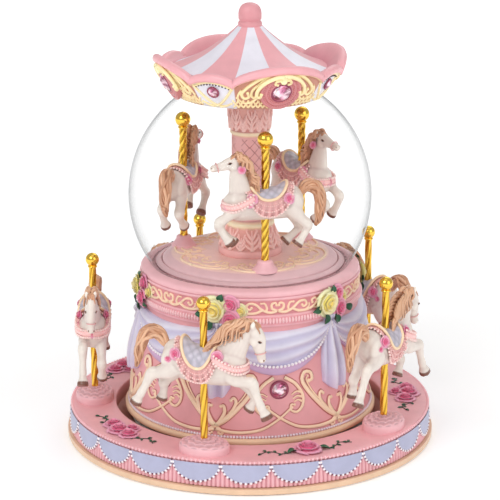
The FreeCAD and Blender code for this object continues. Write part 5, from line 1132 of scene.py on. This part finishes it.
# Gems: faceted pink acrylic stones backed with foil, glued into round seats in the drum. A dark painted
# ring edges each seat.
GEM_PINKS_AND_GLINTS = [(252, 214, 226), (214, 120, 160), (250, 240, 246), (132, 46, 84), (240, 170, 200)]
BEZEL = (150, 62, 88)
GEM_RINGS = [(1.0, -0.25), (1.0, 0.12), (0.82, 0.3), (0.5, 0.5), (0.0, 0.52)]
GEM_SIDES = 12
GEM_LEVEL = 33.2
GEM_RADIUS = 3.1
gem_foil = finish("gem_foil", roughness=0.06, metallic=0.7, coat=1.0, mottle=0.1, grain=260.0, bump=0.0)


def stone(place, axes, radius):
    """A cut stone: rings of points, each turned half a step from the last, with flat facets between."""
    rings = np.array(GEM_RINGS)
    side, ring = np.arange(GEM_SIDES), np.arange(len(rings))[:, None]
    grid = spun(rings[:, :1], 2.0 * np.pi / GEM_SIDES * (side + 0.5 * ring), rings[:, 1:])
    # Facets take the stone's pinks in turn with white painted glints and dark painted reflections.
    tones = tint(GEM_PINKS_AND_GLINTS)[(3 * side + 5 * ring) % len(GEM_PINKS_AND_GLINTS)]
    return surface(place + grid * radius @ axes, tones, around=True)


def hoop(place, axes, radius, size, colour):
    """A ring of round section lying on a face."""
    bend = turns(10)[:, None]
    grid = spun(radius + size * np.cos(bend), turns(48), size * np.sin(bend))
    return surface(place + grid @ axes, tint(colour), around=True, along=True)


drum_stones = []
drum_bezels = []
for angle in bay_angles:
    axes = frame_on(ring_points(1.0, angle, 0.0))
    place = on_drum(angle, 0.0, GEM_LEVEL, 0.2)
    drum_stones.append(stone(place, axes, GEM_RADIUS))
    drum_bezels.append(hoop(place, axes, GEM_RADIUS + 0.3, 0.55, BEZEL))
put("drum_stones", drum_stones, gem_foil, "base", "gem", "drum_gems", smooth=False)
put("drum_stone_rings", drum_bezels, painted_resin, "base", "pink_resin")

# Globe: blown clear glass, open below, standing in the drum's rim. It is thin, so light goes straight
# through it, and only a grey line shows where its outside face is seen edge on. The cement hides its mouth.
GLOBE_CENTRE = 102.04
GLOBE_RADIUS = 50.0
GLOBE_WALL = 1.8
MOUTH_LEVEL = 73.6
GLOBE_RINGS = 72
GLASS_GREY = (0.10, 0.11, 0.12, 1.0)
GLASS_CLEAR = (0.995, 0.995, 0.995, 1.0)
EDGE_POWER = 8.0
EDGE_LINE = {"From Max": 0.45, "To Min": 0.012, "To Max": 0.95}
glass, tree = blank_material("clear_glass")
sheen = tree.nodes["Principled BSDF"]
fill(tree, sheen, {"Base Color": GLASS_GREY, "Metallic": 1.0, "Roughness": 0.03})
clear = added(tree, "BsdfTransparent", "BSDF", {"Color": GLASS_CLEAR})
edge_on = added(tree, "LayerWeight", "Facing", {"Blend": 0.5})
thin = added(tree, "Math", "Value", {0: edge_on, 1: EDGE_POWER}, operation="POWER")
outside = added(tree, "Attribute", "Fac", {}, attribute_name="paint")
edge_line = added(tree, "Math", "Value", {0: thin, 1: outside}, operation="MULTIPLY")
gloss = added(tree, "MapRange", "Result", {"Value": edge_line, **EDGE_LINE})
blown = added(tree, "MixShader", "Shader", {"Fac": gloss, 1: clear, 2: sheen.outputs["BSDF"]})
fill(tree, tree.nodes["Material Output"], {"Surface": blown})


def bowl(radius):
    """Outline of the globe at a radius, from its mouth to its top."""
    start = math.asin((MOUTH_LEVEL - GLOBE_CENTRE) / radius)
    rise = np.linspace(start, np.pi / 2.0, GLOBE_RINGS)
    return np.stack([radius * np.cos(rise), GLOBE_CENTRE + radius * np.sin(rise)], axis=-1)


globe_outline = np.concatenate([bowl(GLOBE_RADIUS), bowl(GLOBE_RADIUS - GLOBE_WALL)[::-1]])
globe_faces = np.repeat([[1.0] * 3, [0.0] * 3], GLOBE_RINGS, axis=0)
put("globe_shell", [turned(globe_outline, globe_faces, 136, along=True)], glass, "base", "glass",
    "globe_glass")

# Inner deck: a turned resin disc inside the globe with a smooth sloping edge, cream scrolls round its top
# and a small bell under each pole. It turns with the column and the inner horses. The rubber stopper
# under it presses a lip, tinted alike, against the glass.
DECK_MAUVE = (232, 190, 194)
DECK_ROSE = (246, 206, 198)
INNER_LEVEL = 77.3
INNER_CIRCLE = 29.0
INNER_FIRST = 12.0
DECK_RIM = 31.0
inner_angles = evenly(3, INNER_FIRST)
inner_outline, inner_paint = outlined(
    (DECK_MAUVE, [(1.8, 74.3), (35.3, 74.3), (35.5, 73.8), (36.1, 73.7), (36.3, 74.1), (36.2, 75.1),
                  (35.5, 75.7), (34.2, 76.4), (32.8, 77.0)]),
    (DECK_ROSE, [(32.2, 77.3), (24.0, 77.4), (14.0, 77.5), (1.8, 77.5)]))
BELL_OUTLINE = [(5.2, -0.2), (5.2, 0.6), (4.7, 1.1), (3.7, 2.2), (3.2, 3.2), (3.1, 3.9), (2.6, 4.4),
                (1.4, 4.5)]
SEAL_OUTLINE = [(36.6, 71.6), (37.2, 71.6), (37.8, 72.2), (38.4, 72.95), (39.0, 73.8), (38.8, 74.05),
                (37.8, 74.55), (36.9, 75.0), (36.6, 74.9)]
DECK_STROKES = [
    # Arc at the rim from the middle of a scallop and distance from the axis, then the rib's two radii
    ([(0.0, 31.6), (7.0, 31.2), (12.6, 29.6), (15.6, 27.0), (14.2, 25.0), (12.2, 25.8), (12.8, 27.2)],
     0.6, 0.4),
    ([(0.0, 27.6), (4.0, 28.6), (8.0, 27.8), (10.4, 25.6), (9.0, 24.0), (7.4, 25.0)], 0.5, 0.36),
    ([(0.0, 25.2), (3.0, 24.2), (4.8, 22.4), (3.4, 21.2), (2.2, 22.2)], 0.5, 0.36),
    ([(10.4, 25.6), (13.0, 23.0), (12.0, 20.4), (9.6, 20.6), (9.8, 22.2)], 0.5, 0.36),
    ([(4.8, 22.4), (6.6, 20.4), (6.0, 18.4)], 0.45, 0.3),
]


def on_deck(centre, across, radius):
    """A place on the inner deck: an arc measured at its rim and a distance from the axis."""
    return ring_points(radius, centre + np.degrees(across / DECK_RIM), INNER_LEVEL + 0.1)


def dish(outline, sides):
    """Points of a (radius, level) outline turned about an upright axis of its own."""
    outline = np.array(outline)
    return spun(outline[:, :1], turns(sides), outline[:, 1:])


inner_parts = [turned(inner_outline, inner_paint, 180, along=True)]
for angle in inner_angles:
    foot = dish(BELL_OUTLINE, 40) + ring_points(INNER_CIRCLE, angle, INNER_LEVEL)
    inner_parts.append(surface(foot, tint(LIGHT_PINK), around=True))
for angle in evenly(6, INNER_FIRST):
    for mirror in (-1.0, 1.0):
        for line, start, end in DECK_STROKES:
            path = flowing(line, 24)
            path = on_deck(angle, mirror * path[:, 0], path[:, 1])
            inner_parts.append(tube(path, np.linspace(start, end, 24), tint(SCROLL_CREAM), 7))
put("inner_deck_top", inner_parts, painted_resin, "inner", "pink_resin", "inner_deck", relief_shading=0.5)
put("stopper_seal", [turned(SEAL_OUTLINE, tint(DECK_MAUVE), 180, along=True)], painted_resin, "base",
    "rubber")

# Column: cast resin in one piece, with a bell foot and a capital carved with leaves, a shaft cut with
# lattice panels and a cream ring at each end of the shaft.
COLUMN_PINK = (236, 178, 176)
COLUMN_ROSE = (232, 168, 158)
FROND_PINK = (246, 194, 188)
LATTICE_RED = (158, 86, 88)
LATTICE_WIDTH = 3.9
LATTICE_HEIGHT = 4.3
LATTICE_PANELS = 4
LINE_SHARE = 0.075
CUT_DEPTH = 0.3
COLUMN_SIDES = 200
SHAFT_RADIUS = 7.5
SHAFT_FOOT = 92.6
SHAFT_TOP = 126.7
SHAFT_STEP = 0.28
FROND_FIRST = 4.0
FRONDS = [
    # Foot, height, spread and turn from the first
    (129.6, 8.2, 2.7, 0.0), (80.4, 8.0, 3.6, 0.0), (80.4, 5.0, 2.0, 22.5), (129.6, 5.0, 1.6, 22.5),
]
column_outline, column_tint = outlined(
    (COLUMN_PINK, [(13.0, 77.3), (13.2, 78.2), (12.9, 80.0)]),
    (COLUMN_ROSE, [(12.3, 80.6), (11.6, 83.0), (10.6, 86.0), (9.9, 88.6)]),
    (SCROLL_CREAM, [(9.7, 89.2), (10.1, 89.8), (10.0, 90.8), (9.2, 91.3)]),
    (COLUMN_PINK, [(7.6, 91.8), (7.5, 92.4), (7.5, 126.8)]),
    (SCROLL_CREAM, [(7.6, 127.3), (8.1, 127.8), (8.1, 128.6)]),
    (COLUMN_ROSE, [(7.7, 129.1), (8.0, 131.0), (8.6, 136.0), (9.0, 141.0), (9.3, 146.0), (8.9, 146.8)]))
outline_radii, outline_levels = column_outline.T
column_levels = np.sort(np.concatenate([outline_levels, np.arange(SHAFT_FOOT, SHAFT_TOP, SHAFT_STEP)]))
column_angles = evenly(COLUMN_SIDES)
slant = np.radians(column_angles) * SHAFT_RADIUS / LATTICE_WIDTH
climb = ((column_levels - SHAFT_FOOT) / LATTICE_HEIGHT)[:, None]


def line_gap(share):
    """Distance of a number to the nearest whole number."""
    return np.abs(share - np.round(share))


def on_column(centre, across, level, proud):
    """A place on the column: an arc from a centre angle, a level, and a height off the surface."""
    radius = np.interp(level, outline_levels, outline_radii)
    return ring_points(radius + proud, centre + np.degrees(across / radius), level)


def frond(foot, height, spread):
    """Strokes of a carved leaf: a stem, and pairs of leaflets that leave it and bend outwards."""
    lines = [([(0.0, foot), (0.15, foot + 0.5 * height), (0.0, foot + height)], 0.9, 0.3)]
    for k in range(3):
        start = foot + height * (0.08 + 0.26 * k)
        for side in (-1.0, 1.0):
            reach = side * spread * (1.0 - 0.22 * k)
            leaflet = [(0.0, start), (0.55 * reach, start + 0.16 * height), (reach, start + 0.40 * height),
                       (0.92 * reach, start + 0.48 * height)]
            lines.append((leaflet, 0.75, 0.35))
    return lines


lattice = np.minimum(line_gap(slant + climb), line_gap(slant - climb))
panel = np.cos(np.radians(LATTICE_PANELS * (column_angles - FROND_FIRST))) > -0.62
cut = np.clip(1.0 - lattice / LINE_SHARE, 0.0, 1.0) * (panel & (climb > 0.06) & (climb < 7.8))
column_points = on_column(column_angles, 0.0, column_levels[:, None], -CUT_DEPTH * cut)
ground = np.stack([np.interp(column_levels, outline_levels, row) for row in column_tint.T], axis=-1)[:, None]
column_paint = ground + (tint(LATTICE_RED) - ground) * (0.9 * cut)[..., None]
column_ends = ring_points(0.0, column_angles, outline_levels[[0, -1], None])
column_parts = [surface(np.concatenate([column_ends[:1], column_points, column_ends[1:]]),
                        np.concatenate([column_paint[:1], column_paint, column_paint[-1:]]), around=True)]
for angle in evenly(8, FROND_FIRST):
    for foot, height, spread, turn in FRONDS:
        column_parts += strokes(frond(foot, height, spread), angle + turn, on_column, 1.0, 14, FROND_PINK)
put("column_carved", column_parts, painted_resin, "inner", "pink_resin", "column", relief_shading=0.8)

# Inner poles and horses: thicker gilt poles, and figures with upright necks that face the other way
# round, with a pleated skirt under the saddle. Made as the outer ones are.
INNER_POLE_RADIUS = 1.6
INNER_POLE_FOOT = 77.8
INNER_POLE_LENGTH = 53.2
INNER_BALL_RADIUS = 3.2
INNER_BELLY = 99.0
INNER_TWIST = 16.0
INNER_FIGURE = {
    "body": [(-15.6, 0, 6.6, 0.8, 1.2), (-14.4, 0, 6.6, 3.4, 4.2), (-11.6, 0, 6.6, 5.0, 6.4),
             (-8.0, 0, 6.2, 5.2, 6.5), (-3.5, 0, 5.6, 5.2, 6.0), (1.5, 0, 5.3, 5.1, 5.8),
             (6.0, 0, 5.5, 5.2, 6.0), (10.4, 0, 6.0, 5.3, 6.4), (14.0, 0, 6.6, 4.4, 5.4),
             (16.2, 0, 7.0, 2.2, 3.0), (16.8, 0, 7.0, 0.7, 1.0)],
    "neck": [(8.0, 0, 6.5, 3.4, 5.6), (9.8, 0, 11.4, 3.2, 5.0), (10.8, 0, 16.0, 2.7, 3.9),
             (11.4, 0, 20.0, 2.2, 3.0), (11.8, 0, 23.0, 1.8, 2.3), (12.0, 0, 24.4, 1.2, 1.4)],
    "head": [(9.8, 0, 23.4, 1.0, 1.1), (11.2, 0, 23.6, 2.0, 2.3), (13.4, 0, 23.2, 2.2, 2.7),
             (16.2, 0, 22.4, 1.9, 2.2), (18.8, 0, 21.7, 1.5, 1.7), (20.6, 0, 21.3, 1.5, 1.6),
             (21.8, 0, 21.0, 1.2, 1.25), (22.3, 0, 20.9, 0.5, 0.6)],
    "legs": [
        [(10.0, -2.6, 5.4, 2.7, 3.6), (13.0, -3.1, 2.2, 2.2, 2.7), (16.0, -3.3, -0.8, 1.7, 1.9),
         (18.0, -3.4, -3.2, 1.5, 1.6), (16.9, -3.4, -5.2, 1.15, 1.2), (15.2, -3.4, -7.2, 1.05, 1.1),
         (13.6, -3.4, -8.8, 1.2, 1.2), (12.5, -3.4, -9.8, 1.5, 1.55), (11.5, -3.4, -10.9, 1.7, 1.75)],
        [(10.2, 2.6, 6.0, 2.7, 3.6), (13.4, 3.1, 4.0, 2.2, 2.7), (16.6, 3.3, 1.8, 1.7, 1.9),
         (19.2, 3.4, 0.0, 1.5, 1.6), (18.8, 3.4, -2.4, 1.15, 1.2), (17.6, 3.4, -4.8, 1.05, 1.1),
         (16.4, 3.4, -6.6, 1.2, 1.2), (15.4, 3.4, -7.8, 1.5, 1.55), (14.4, 3.4, -9.0, 1.7, 1.75)],
        [(-9.6, -2.4, 5.4, 3.2, 4.6), (-11.2, -2.9, 1.8, 2.6, 3.3), (-13.0, -3.2, -1.6, 2.0, 2.2),
         (-14.8, -3.4, -4.2, 1.6, 1.7), (-14.0, -3.4, -6.2, 1.15, 1.2), (-12.2, -3.4, -8.0, 1.05, 1.1),
         (-10.6, -3.4, -9.4, 1.2, 1.2), (-9.5, -3.4, -10.3, 1.5, 1.55), (-8.4, -3.4, -11.3, 1.7, 1.75)],
        [(-9.6, 2.4, 5.4, 3.2, 4.6), (-11.8, 2.9, 2.4, 2.6, 3.3), (-14.2, 3.2, -0.4, 2.0, 2.2),
         (-16.4, 3.4, -2.6, 1.6, 1.7), (-16.0, 3.4, -4.8, 1.15, 1.2), (-14.8, 3.4, -7.0, 1.05, 1.1),
         (-13.8, 3.4, -8.6, 1.2, 1.2), (-13.0, 3.4, -9.7, 1.5, 1.55), (-12.1, 3.4, -10.9, 1.7, 1.75)],
    ],
    "muscles": [((-10.8, 3.0, 6.2), (4.2, 2.4, 5.0)), ((10.0, 3.2, 6.0), (3.6, 2.1, 4.8)),
                ((14.0, 2.1, 5.4), (2.3, 2.2, 3.2)), ((12.9, 1.25, 22.2), (2.0, 1.2, 2.1)),
                ((21.2, 0.8, 21.2), (1.1, 0.85, 1.1)), ((14.2, 1.55, 24.2), (0.7, 0.55, 0.6))],
    "ears": [((11.2, 1.3, 24.8), (11.2, 1.8, 27.2))],
    "eye": (14.6, 2.0, 23.3),
    "nostril": (21.6, 1.1, 21.5),
    "nose_strap": (19.4, 21.6, 1.8, 1.95, -16.0),
    "crest": [(12.4, 25.6), (10.4, 25.0), (8.8, 22.4), (8.0, 18.6), (7.0, 14.8), (6.0, 11.8)],
    "lock": 5.4,
    "tail": [(-14.4, 9.6), (-17.0, 12.8), (-20.2, 12.2), (-22.2, 8.0), (-22.4, 2.4), (-21.8, -1.6),
             (-20.6, -4.2)],
    "tail_spread": 2.2,
    "seat": (-1.2, 7.4, 62.0),
    "cloth": 62.0,
    "collar": [(5.6, 5.2, 9.8), (9.4, 5.6, 7.6), (13.2, 5.0, 6.2), (15.8, 2.8, 6.0), (16.8, 0.0, 6.0)],
    "roses": [((-8.6, 5.0, 8.8), 1.9), ((6.2, 4.9, 9.2), 1.8), ((7.4, 5.4, 7.4), 1.3),
              ((15.6, 3.2, 6.0), 1.2), ((16.8, 0.01, 6.0), 1.4), ((10.0, 2.9, 20.9), 1.3)],
}
inner_figure = whole_figure(INNER_FIGURE, 5)
for k, angle in enumerate(inner_angles, start=1):
    parts = pole(INNER_CIRCLE, angle, INNER_POLE_FOOT, INNER_POLE_LENGTH, INNER_POLE_RADIUS,
                 INNER_BALL_RADIUS, INNER_TWIST)
    put(f"inner_gilt_pole_{k}", parts, gilt, "inner", "gold", f"inner_pole_{k}")
    put(f"inner_figure_{k}", [stand(inner_figure, INNER_CIRCLE, angle, INNER_BELLY, 180.0)], horse_paint,
        "inner", "horse_resin", f"inner_horse_{k}")

# Canopy: one resin casting glued on the globe, with a striped tent roof inside an upturned crown of four
# large and four small arched panels, all painted.
CANOPY_PINK = (238, 172, 178)
CANOPY_WHITE = (236, 234, 244)
CROWN_CREAM = (252, 226, 176)
CROWN_RECESS_SHADE = (198, 138, 118)
CROWN_BOTTOM = 143.46
CROWN_SEAT = 29.0
CROWN_EDGE = 36.8
LARGE_FIRST = 20.0
LARGE_HALF = 30.5
SMALL_HALF = 14.5
NOTCH_RISE = 12.2
LARGE_RISE = 18.0
SMALL_RISE = 14.6
LARGE_SWELL = 1.8
CROWN_SIDES = 480
LIP_DEPTH = 3.4
STRIPES = 12
STRIPE_FIRST = 4.0
ROOF = [(31.2, 155.2), (29.0, 156.0), (25.0, 157.6), (20.0, 160.0), (15.0, 163.1), (10.0, 166.9),
        (6.6, 169.8), (4.4, 171.6), (0.5, 171.8)]
lip_shape, lip_paint = outlined(
    # Out and up from the crown's edge: the end of the outer face, then the rolled lip and the inside
    (CROWN_CREAM, [(-0.3, -LIP_DEPTH)]),
    (CANOPY_PINK, [(0.5, -3.1), (1.0, -2.4), (1.1, -1.4), (0.7, -0.4), (-0.1, 0.1), (-1.2, 0.1), (-2.1, -0.5),
                   (-2.6, -1.6)]))
large_angles = evenly(4, LARGE_FIRST)
small_angles = large_angles + 45.0


def arched(angle):
    """The crown's rise, its swell and which panel is large, at an angle: an arch over each panel."""
    turn = np.mod(angle - LARGE_FIRST + 45.0, 90.0) - 45.0
    large = np.abs(turn) < LARGE_HALF
    share = np.where(large, turn / LARGE_HALF, (45.0 - np.abs(turn)) / SMALL_HALF)
    arch = np.cos(np.pi / 2.0 * np.clip(share, -1.0, 1.0)) ** 0.6
    rise = NOTCH_RISE + (np.where(large, LARGE_RISE, SMALL_RISE) - NOTCH_RISE) * arch
    return rise, np.where(large, LARGE_SWELL * arch, 0.0), large


def on_crown(centre, across, level, proud=0.0):
    """A place on the crown's outside: an arc from a centre angle, a level, and a height off the face."""
    angle = centre + np.degrees(across / CROWN_EDGE)
    rise, swell, _ = arched(angle)
    share = (level - CROWN_BOTTOM) / rise
    bulge = 0.8 * np.sin(np.pi * np.clip(share, 0.0, 1.0))
    radius = CROWN_SEAT + (CROWN_EDGE + swell - CROWN_SEAT) * share + bulge
    return ring_points(radius + proud, angle, level - 0.4 * proud)


crown_angles = evenly(CROWN_SIDES)
rise, swell, large = arched(crown_angles)
face_level = CROWN_BOTTOM + (rise - LIP_DEPTH) * np.linspace(0.0, 1.0, 12)[:, None]
crown_rows = [
    # Points and paint: under the seat, the outer face, the rolled lip, the trough round the roof
    (ring_points(np.array([[27.6], [28.2]]), crown_angles, CROWN_BOTTOM + np.array([[0.6], [-0.3]])),
     tint(CROWN_CREAM)),
    # The large panels' face is painted a dark tan, as painted shade behind their scrolls; the small panels
    # are white.
    (on_crown(0.0, np.radians(crown_angles) * CROWN_EDGE, face_level),
     np.where(large[:, None], tint(CROWN_RECESS_SHADE), tint(CANOPY_WHITE))),
    (ring_points(CROWN_EDGE + swell + lip_shape[:, :1], crown_angles, CROWN_BOTTOM + rise + lip_shape[:, 1:]),
     lip_paint[:, None]),
    # The trough round the roof is painted darker pink, as painted shade.
    (ring_points(np.array([[31.5], [30.4]]), crown_angles, np.array([[155.4], [155.0]])), tint(PINK_SHADE)),
]
crown_paint = np.concatenate([np.broadcast_to(paint, points.shape) for points, paint in crown_rows])
crown = surface(np.concatenate([points for points, _ in crown_rows]), crown_paint, around=True)
roof = flowing(ROOF, 40)
stripe_share = np.concatenate([[0.006], np.linspace(0.03, 0.97, 16), [0.994]])
stripe_starts = evenly(STRIPES, STRIPE_FIRST - 180.0 / STRIPES)[:, None]
stripe_angles = (stripe_starts + 360.0 / STRIPES * stripe_share).ravel()
stripe_tint = np.where(np.repeat(np.arange(STRIPES) % 2 == 0, len(stripe_share))[:, None],
                       tint(CANOPY_WHITE), tint(CANOPY_PINK))
ridge = np.tile(np.abs(stripe_share - 0.5) * 2.0, STRIPES) ** 8
roof_points = ring_points(roof[:, :1] + 0.12 * ridge, stripe_angles, roof[:, 1:] + 0.1 * ridge)
canopy_parts = [crown, surface(roof_points, stripe_tint, around=True)]
put("canopy_tent", canopy_parts, painted_resin, "base", "pink_resin", "canopy", relief_shading=0.3)

# Crown ornament: cream scrolls, basket work and beaded medallions cast on the large panels, and dotted
# edges with crossed ribbons on the small ones. Painted cream and pink, with dark dots.
DOT = (70, 40, 48)
MEDALLION_PINK = (206, 130, 132)
LARGE_STROKES = [
    # Arc from the panel's middle and level for each point, then the rib's two radii
    ([(0.8, 159.4), (5.6, 158.4), (10.2, 156.0), (14.2, 153.0), (16.4, 150.4), (15.4, 148.4), (13.4, 149.0),
      (13.8, 150.8)], 0.85, 0.55),
    ([(3.0, 158.4), (7.4, 156.2), (9.2, 152.6), (8.6, 149.4), (6.9, 148.6), (6.6, 150.2)], 0.8, 0.5),
    ([(8.6, 154.8), (11.6, 152.2), (12.2, 149.6), (10.8, 148.6), (10.2, 150.0)], 0.7, 0.45),
    ([(9.6, 148.6), (12.6, 146.6), (16.0, 146.4), (18.6, 148.6)], 0.6, 0.35),
    ([(16.4, 152.0), (18.0, 149.6), (18.2, 147.0)], 0.6, 0.35),
]
FRAME_STROKES = [
    ([(0.0, 158.4), (0.0, 156.4)], 1.5, 1.1),
    ([(0.0, 158.2), (3.0, 158.0), (6.6, 156.4), (9.4, 153.6), (10.2, 150.8), (8.9, 149.8), (8.3, 151.2)],
     0.95, 0.6),
    ([(1.0, 156.9), (2.6, 156.6), (3.2, 155.4), (2.2, 155.0)], 0.7, 0.45),
]
SMALL_STROKES = [
    ([(0.0, 144.4), (3.0, 146.2), (6.2, 149.2), (8.6, 152.4)], 0.62, 0.55),
    ([(0.0, 154.7), (3.4, 154.3), (6.2, 153.4), (8.4, 152.2)], 0.6, 0.55),
    ([(1.2, 144.2), (4.6, 144.6), (7.4, 145.8)], 0.6, 0.4),
]
MEDALLION = [
    # Radius and height over the panel: a dish with raised rings
    (8.4, -2.2), (8.5, 0.5), (8.2, 1.0), (7.7, 1.1), (7.2, 0.8), (6.8, 0.7), (6.4, 1.1), (5.9, 1.3),
    (5.5, 1.0), (5.1, 0.9), (4.7, 1.3), (4.3, 1.5), (3.9, 1.3), (3.6, 0.9), (0.0, 0.8),
]
PANEL_TILT = 26.0
GEM_LARGE = 3.7
GEM_SMALL = 2.0
LARGE_GEM_LEVEL = 151.5
SMALL_GEM_LEVEL = 150.6


def panel_axes(angle):
    """Across, up along and out of a crown panel, which leans outwards."""
    lean = math.radians(PANEL_TILT)
    return frame_on(ring_points(math.cos(lean), angle, -math.sin(lean)))


def medallion(angle):
    """A dish turned about the panel's own axis, with two rings of small beads."""
    place = on_crown(angle, 0.0, LARGE_GEM_LEVEL, 0.4)
    axes = panel_axes(angle)
    parts = [surface(place + dish(MEDALLION, 72) @ axes, tint(MEDALLION_PINK), around=True)]
    for count, radius, height in ((46, 6.95, 0.8), (36, 5.3, 1.0)):
        beads = spun(radius, turns(count), height)
        parts.append(pearls(place + beads @ axes, 0.34, tint(MEDALLION_PINK) * 1.15))
    return parts


def over_medallion(centre, across, level, proud):
    """A place on the crown raised by a medallion's height."""
    return on_crown(centre, across, level, proud + 1.7)


ornament_parts = []
crown_stones = []
small_stones = []
for angle in large_angles:
    ornament_parts += medallion(angle)
    for mirror in (-1.0, 1.0):
        ornament_parts += strokes(LARGE_STROKES, angle, on_crown, mirror, 26, CROWN_CREAM)
        ornament_parts += strokes(FRAME_STROKES, angle, over_medallion, mirror, 26, CROWN_CREAM)
        for k in range(7):
            start = 4.4 + 2.3 * k
            weave = [([(start, 144.2), (start + 1.3, 145.6), (start + 2.4, 147.2)], 0.5, 0.35),
                     ([(start + 2.4, 144.2), (start + 1.1, 145.6), (start, 147.2)], 0.45, 0.35)]
            ornament_parts += strokes(weave, angle, on_crown, mirror, 8, CROWN_CREAM)
    axes = panel_axes(angle)
    place = on_crown(angle, 0.0, LARGE_GEM_LEVEL, 0.4) + 1.3 * UP @ axes
    crown_stones.append(stone(place, axes, GEM_LARGE))
    ornament_parts.append(hoop(place, axes, GEM_LARGE + 0.25, 0.45, BEZEL))
for angle in small_angles:
    for mirror in (-1.0, 1.0):
        ornament_parts += strokes(SMALL_STROKES, angle, on_crown, mirror, 20, CROWN_CREAM)
    dots = np.linspace(-7.4, 7.4, 12)
    ornament_parts.append(pearls(on_crown(angle, dots, 153.9 - 0.026 * dots ** 2, 0.5), 0.34, tint(DOT)))
    axes = panel_axes(angle)
    place = on_crown(angle, 0.0, SMALL_GEM_LEVEL, 0.5)
    small_stones.append(stone(place, axes, GEM_SMALL))
    ornament_parts.append(hoop(place, axes, GEM_SMALL + 0.2, 0.4, BEZEL))
put("crown_ornament", ornament_parts, painted_resin, "base", "cream_resin", relief_shading=0.5)
put("crown_stones", crown_stones, gem_foil, "base", "gem", "canopy_gems", smooth=False)
put("crown_small_stones", small_stones, gem_foil, "base", "gem", "canopy_small_gems", smooth=False)

# Finial: a knob cast in resin and painted pink, with straight sides and a round top on a collar. It is
# glued on the roof.
FINIAL_PINK = (228, 158, 164)
FINIAL_OUTLINE = [
    (0.0, 170.66), (4.6, 170.66), (4.85, 171.2), (4.85, 172.6), (4.6, 173.1), (4.25, 173.3), (4.3, 173.7),
    (4.65, 174.2), (4.7, 175.0), (4.7, 176.4), (4.5, 177.7), (4.0, 178.9), (3.1, 179.9), (1.8, 180.5),
    (0.0, 180.66),
]
put("finial_knob", [turned(FINIAL_OUTLINE, tint(FINIAL_PINK), 72)], painted_resin, "base", "cream_resin",
    "finial")
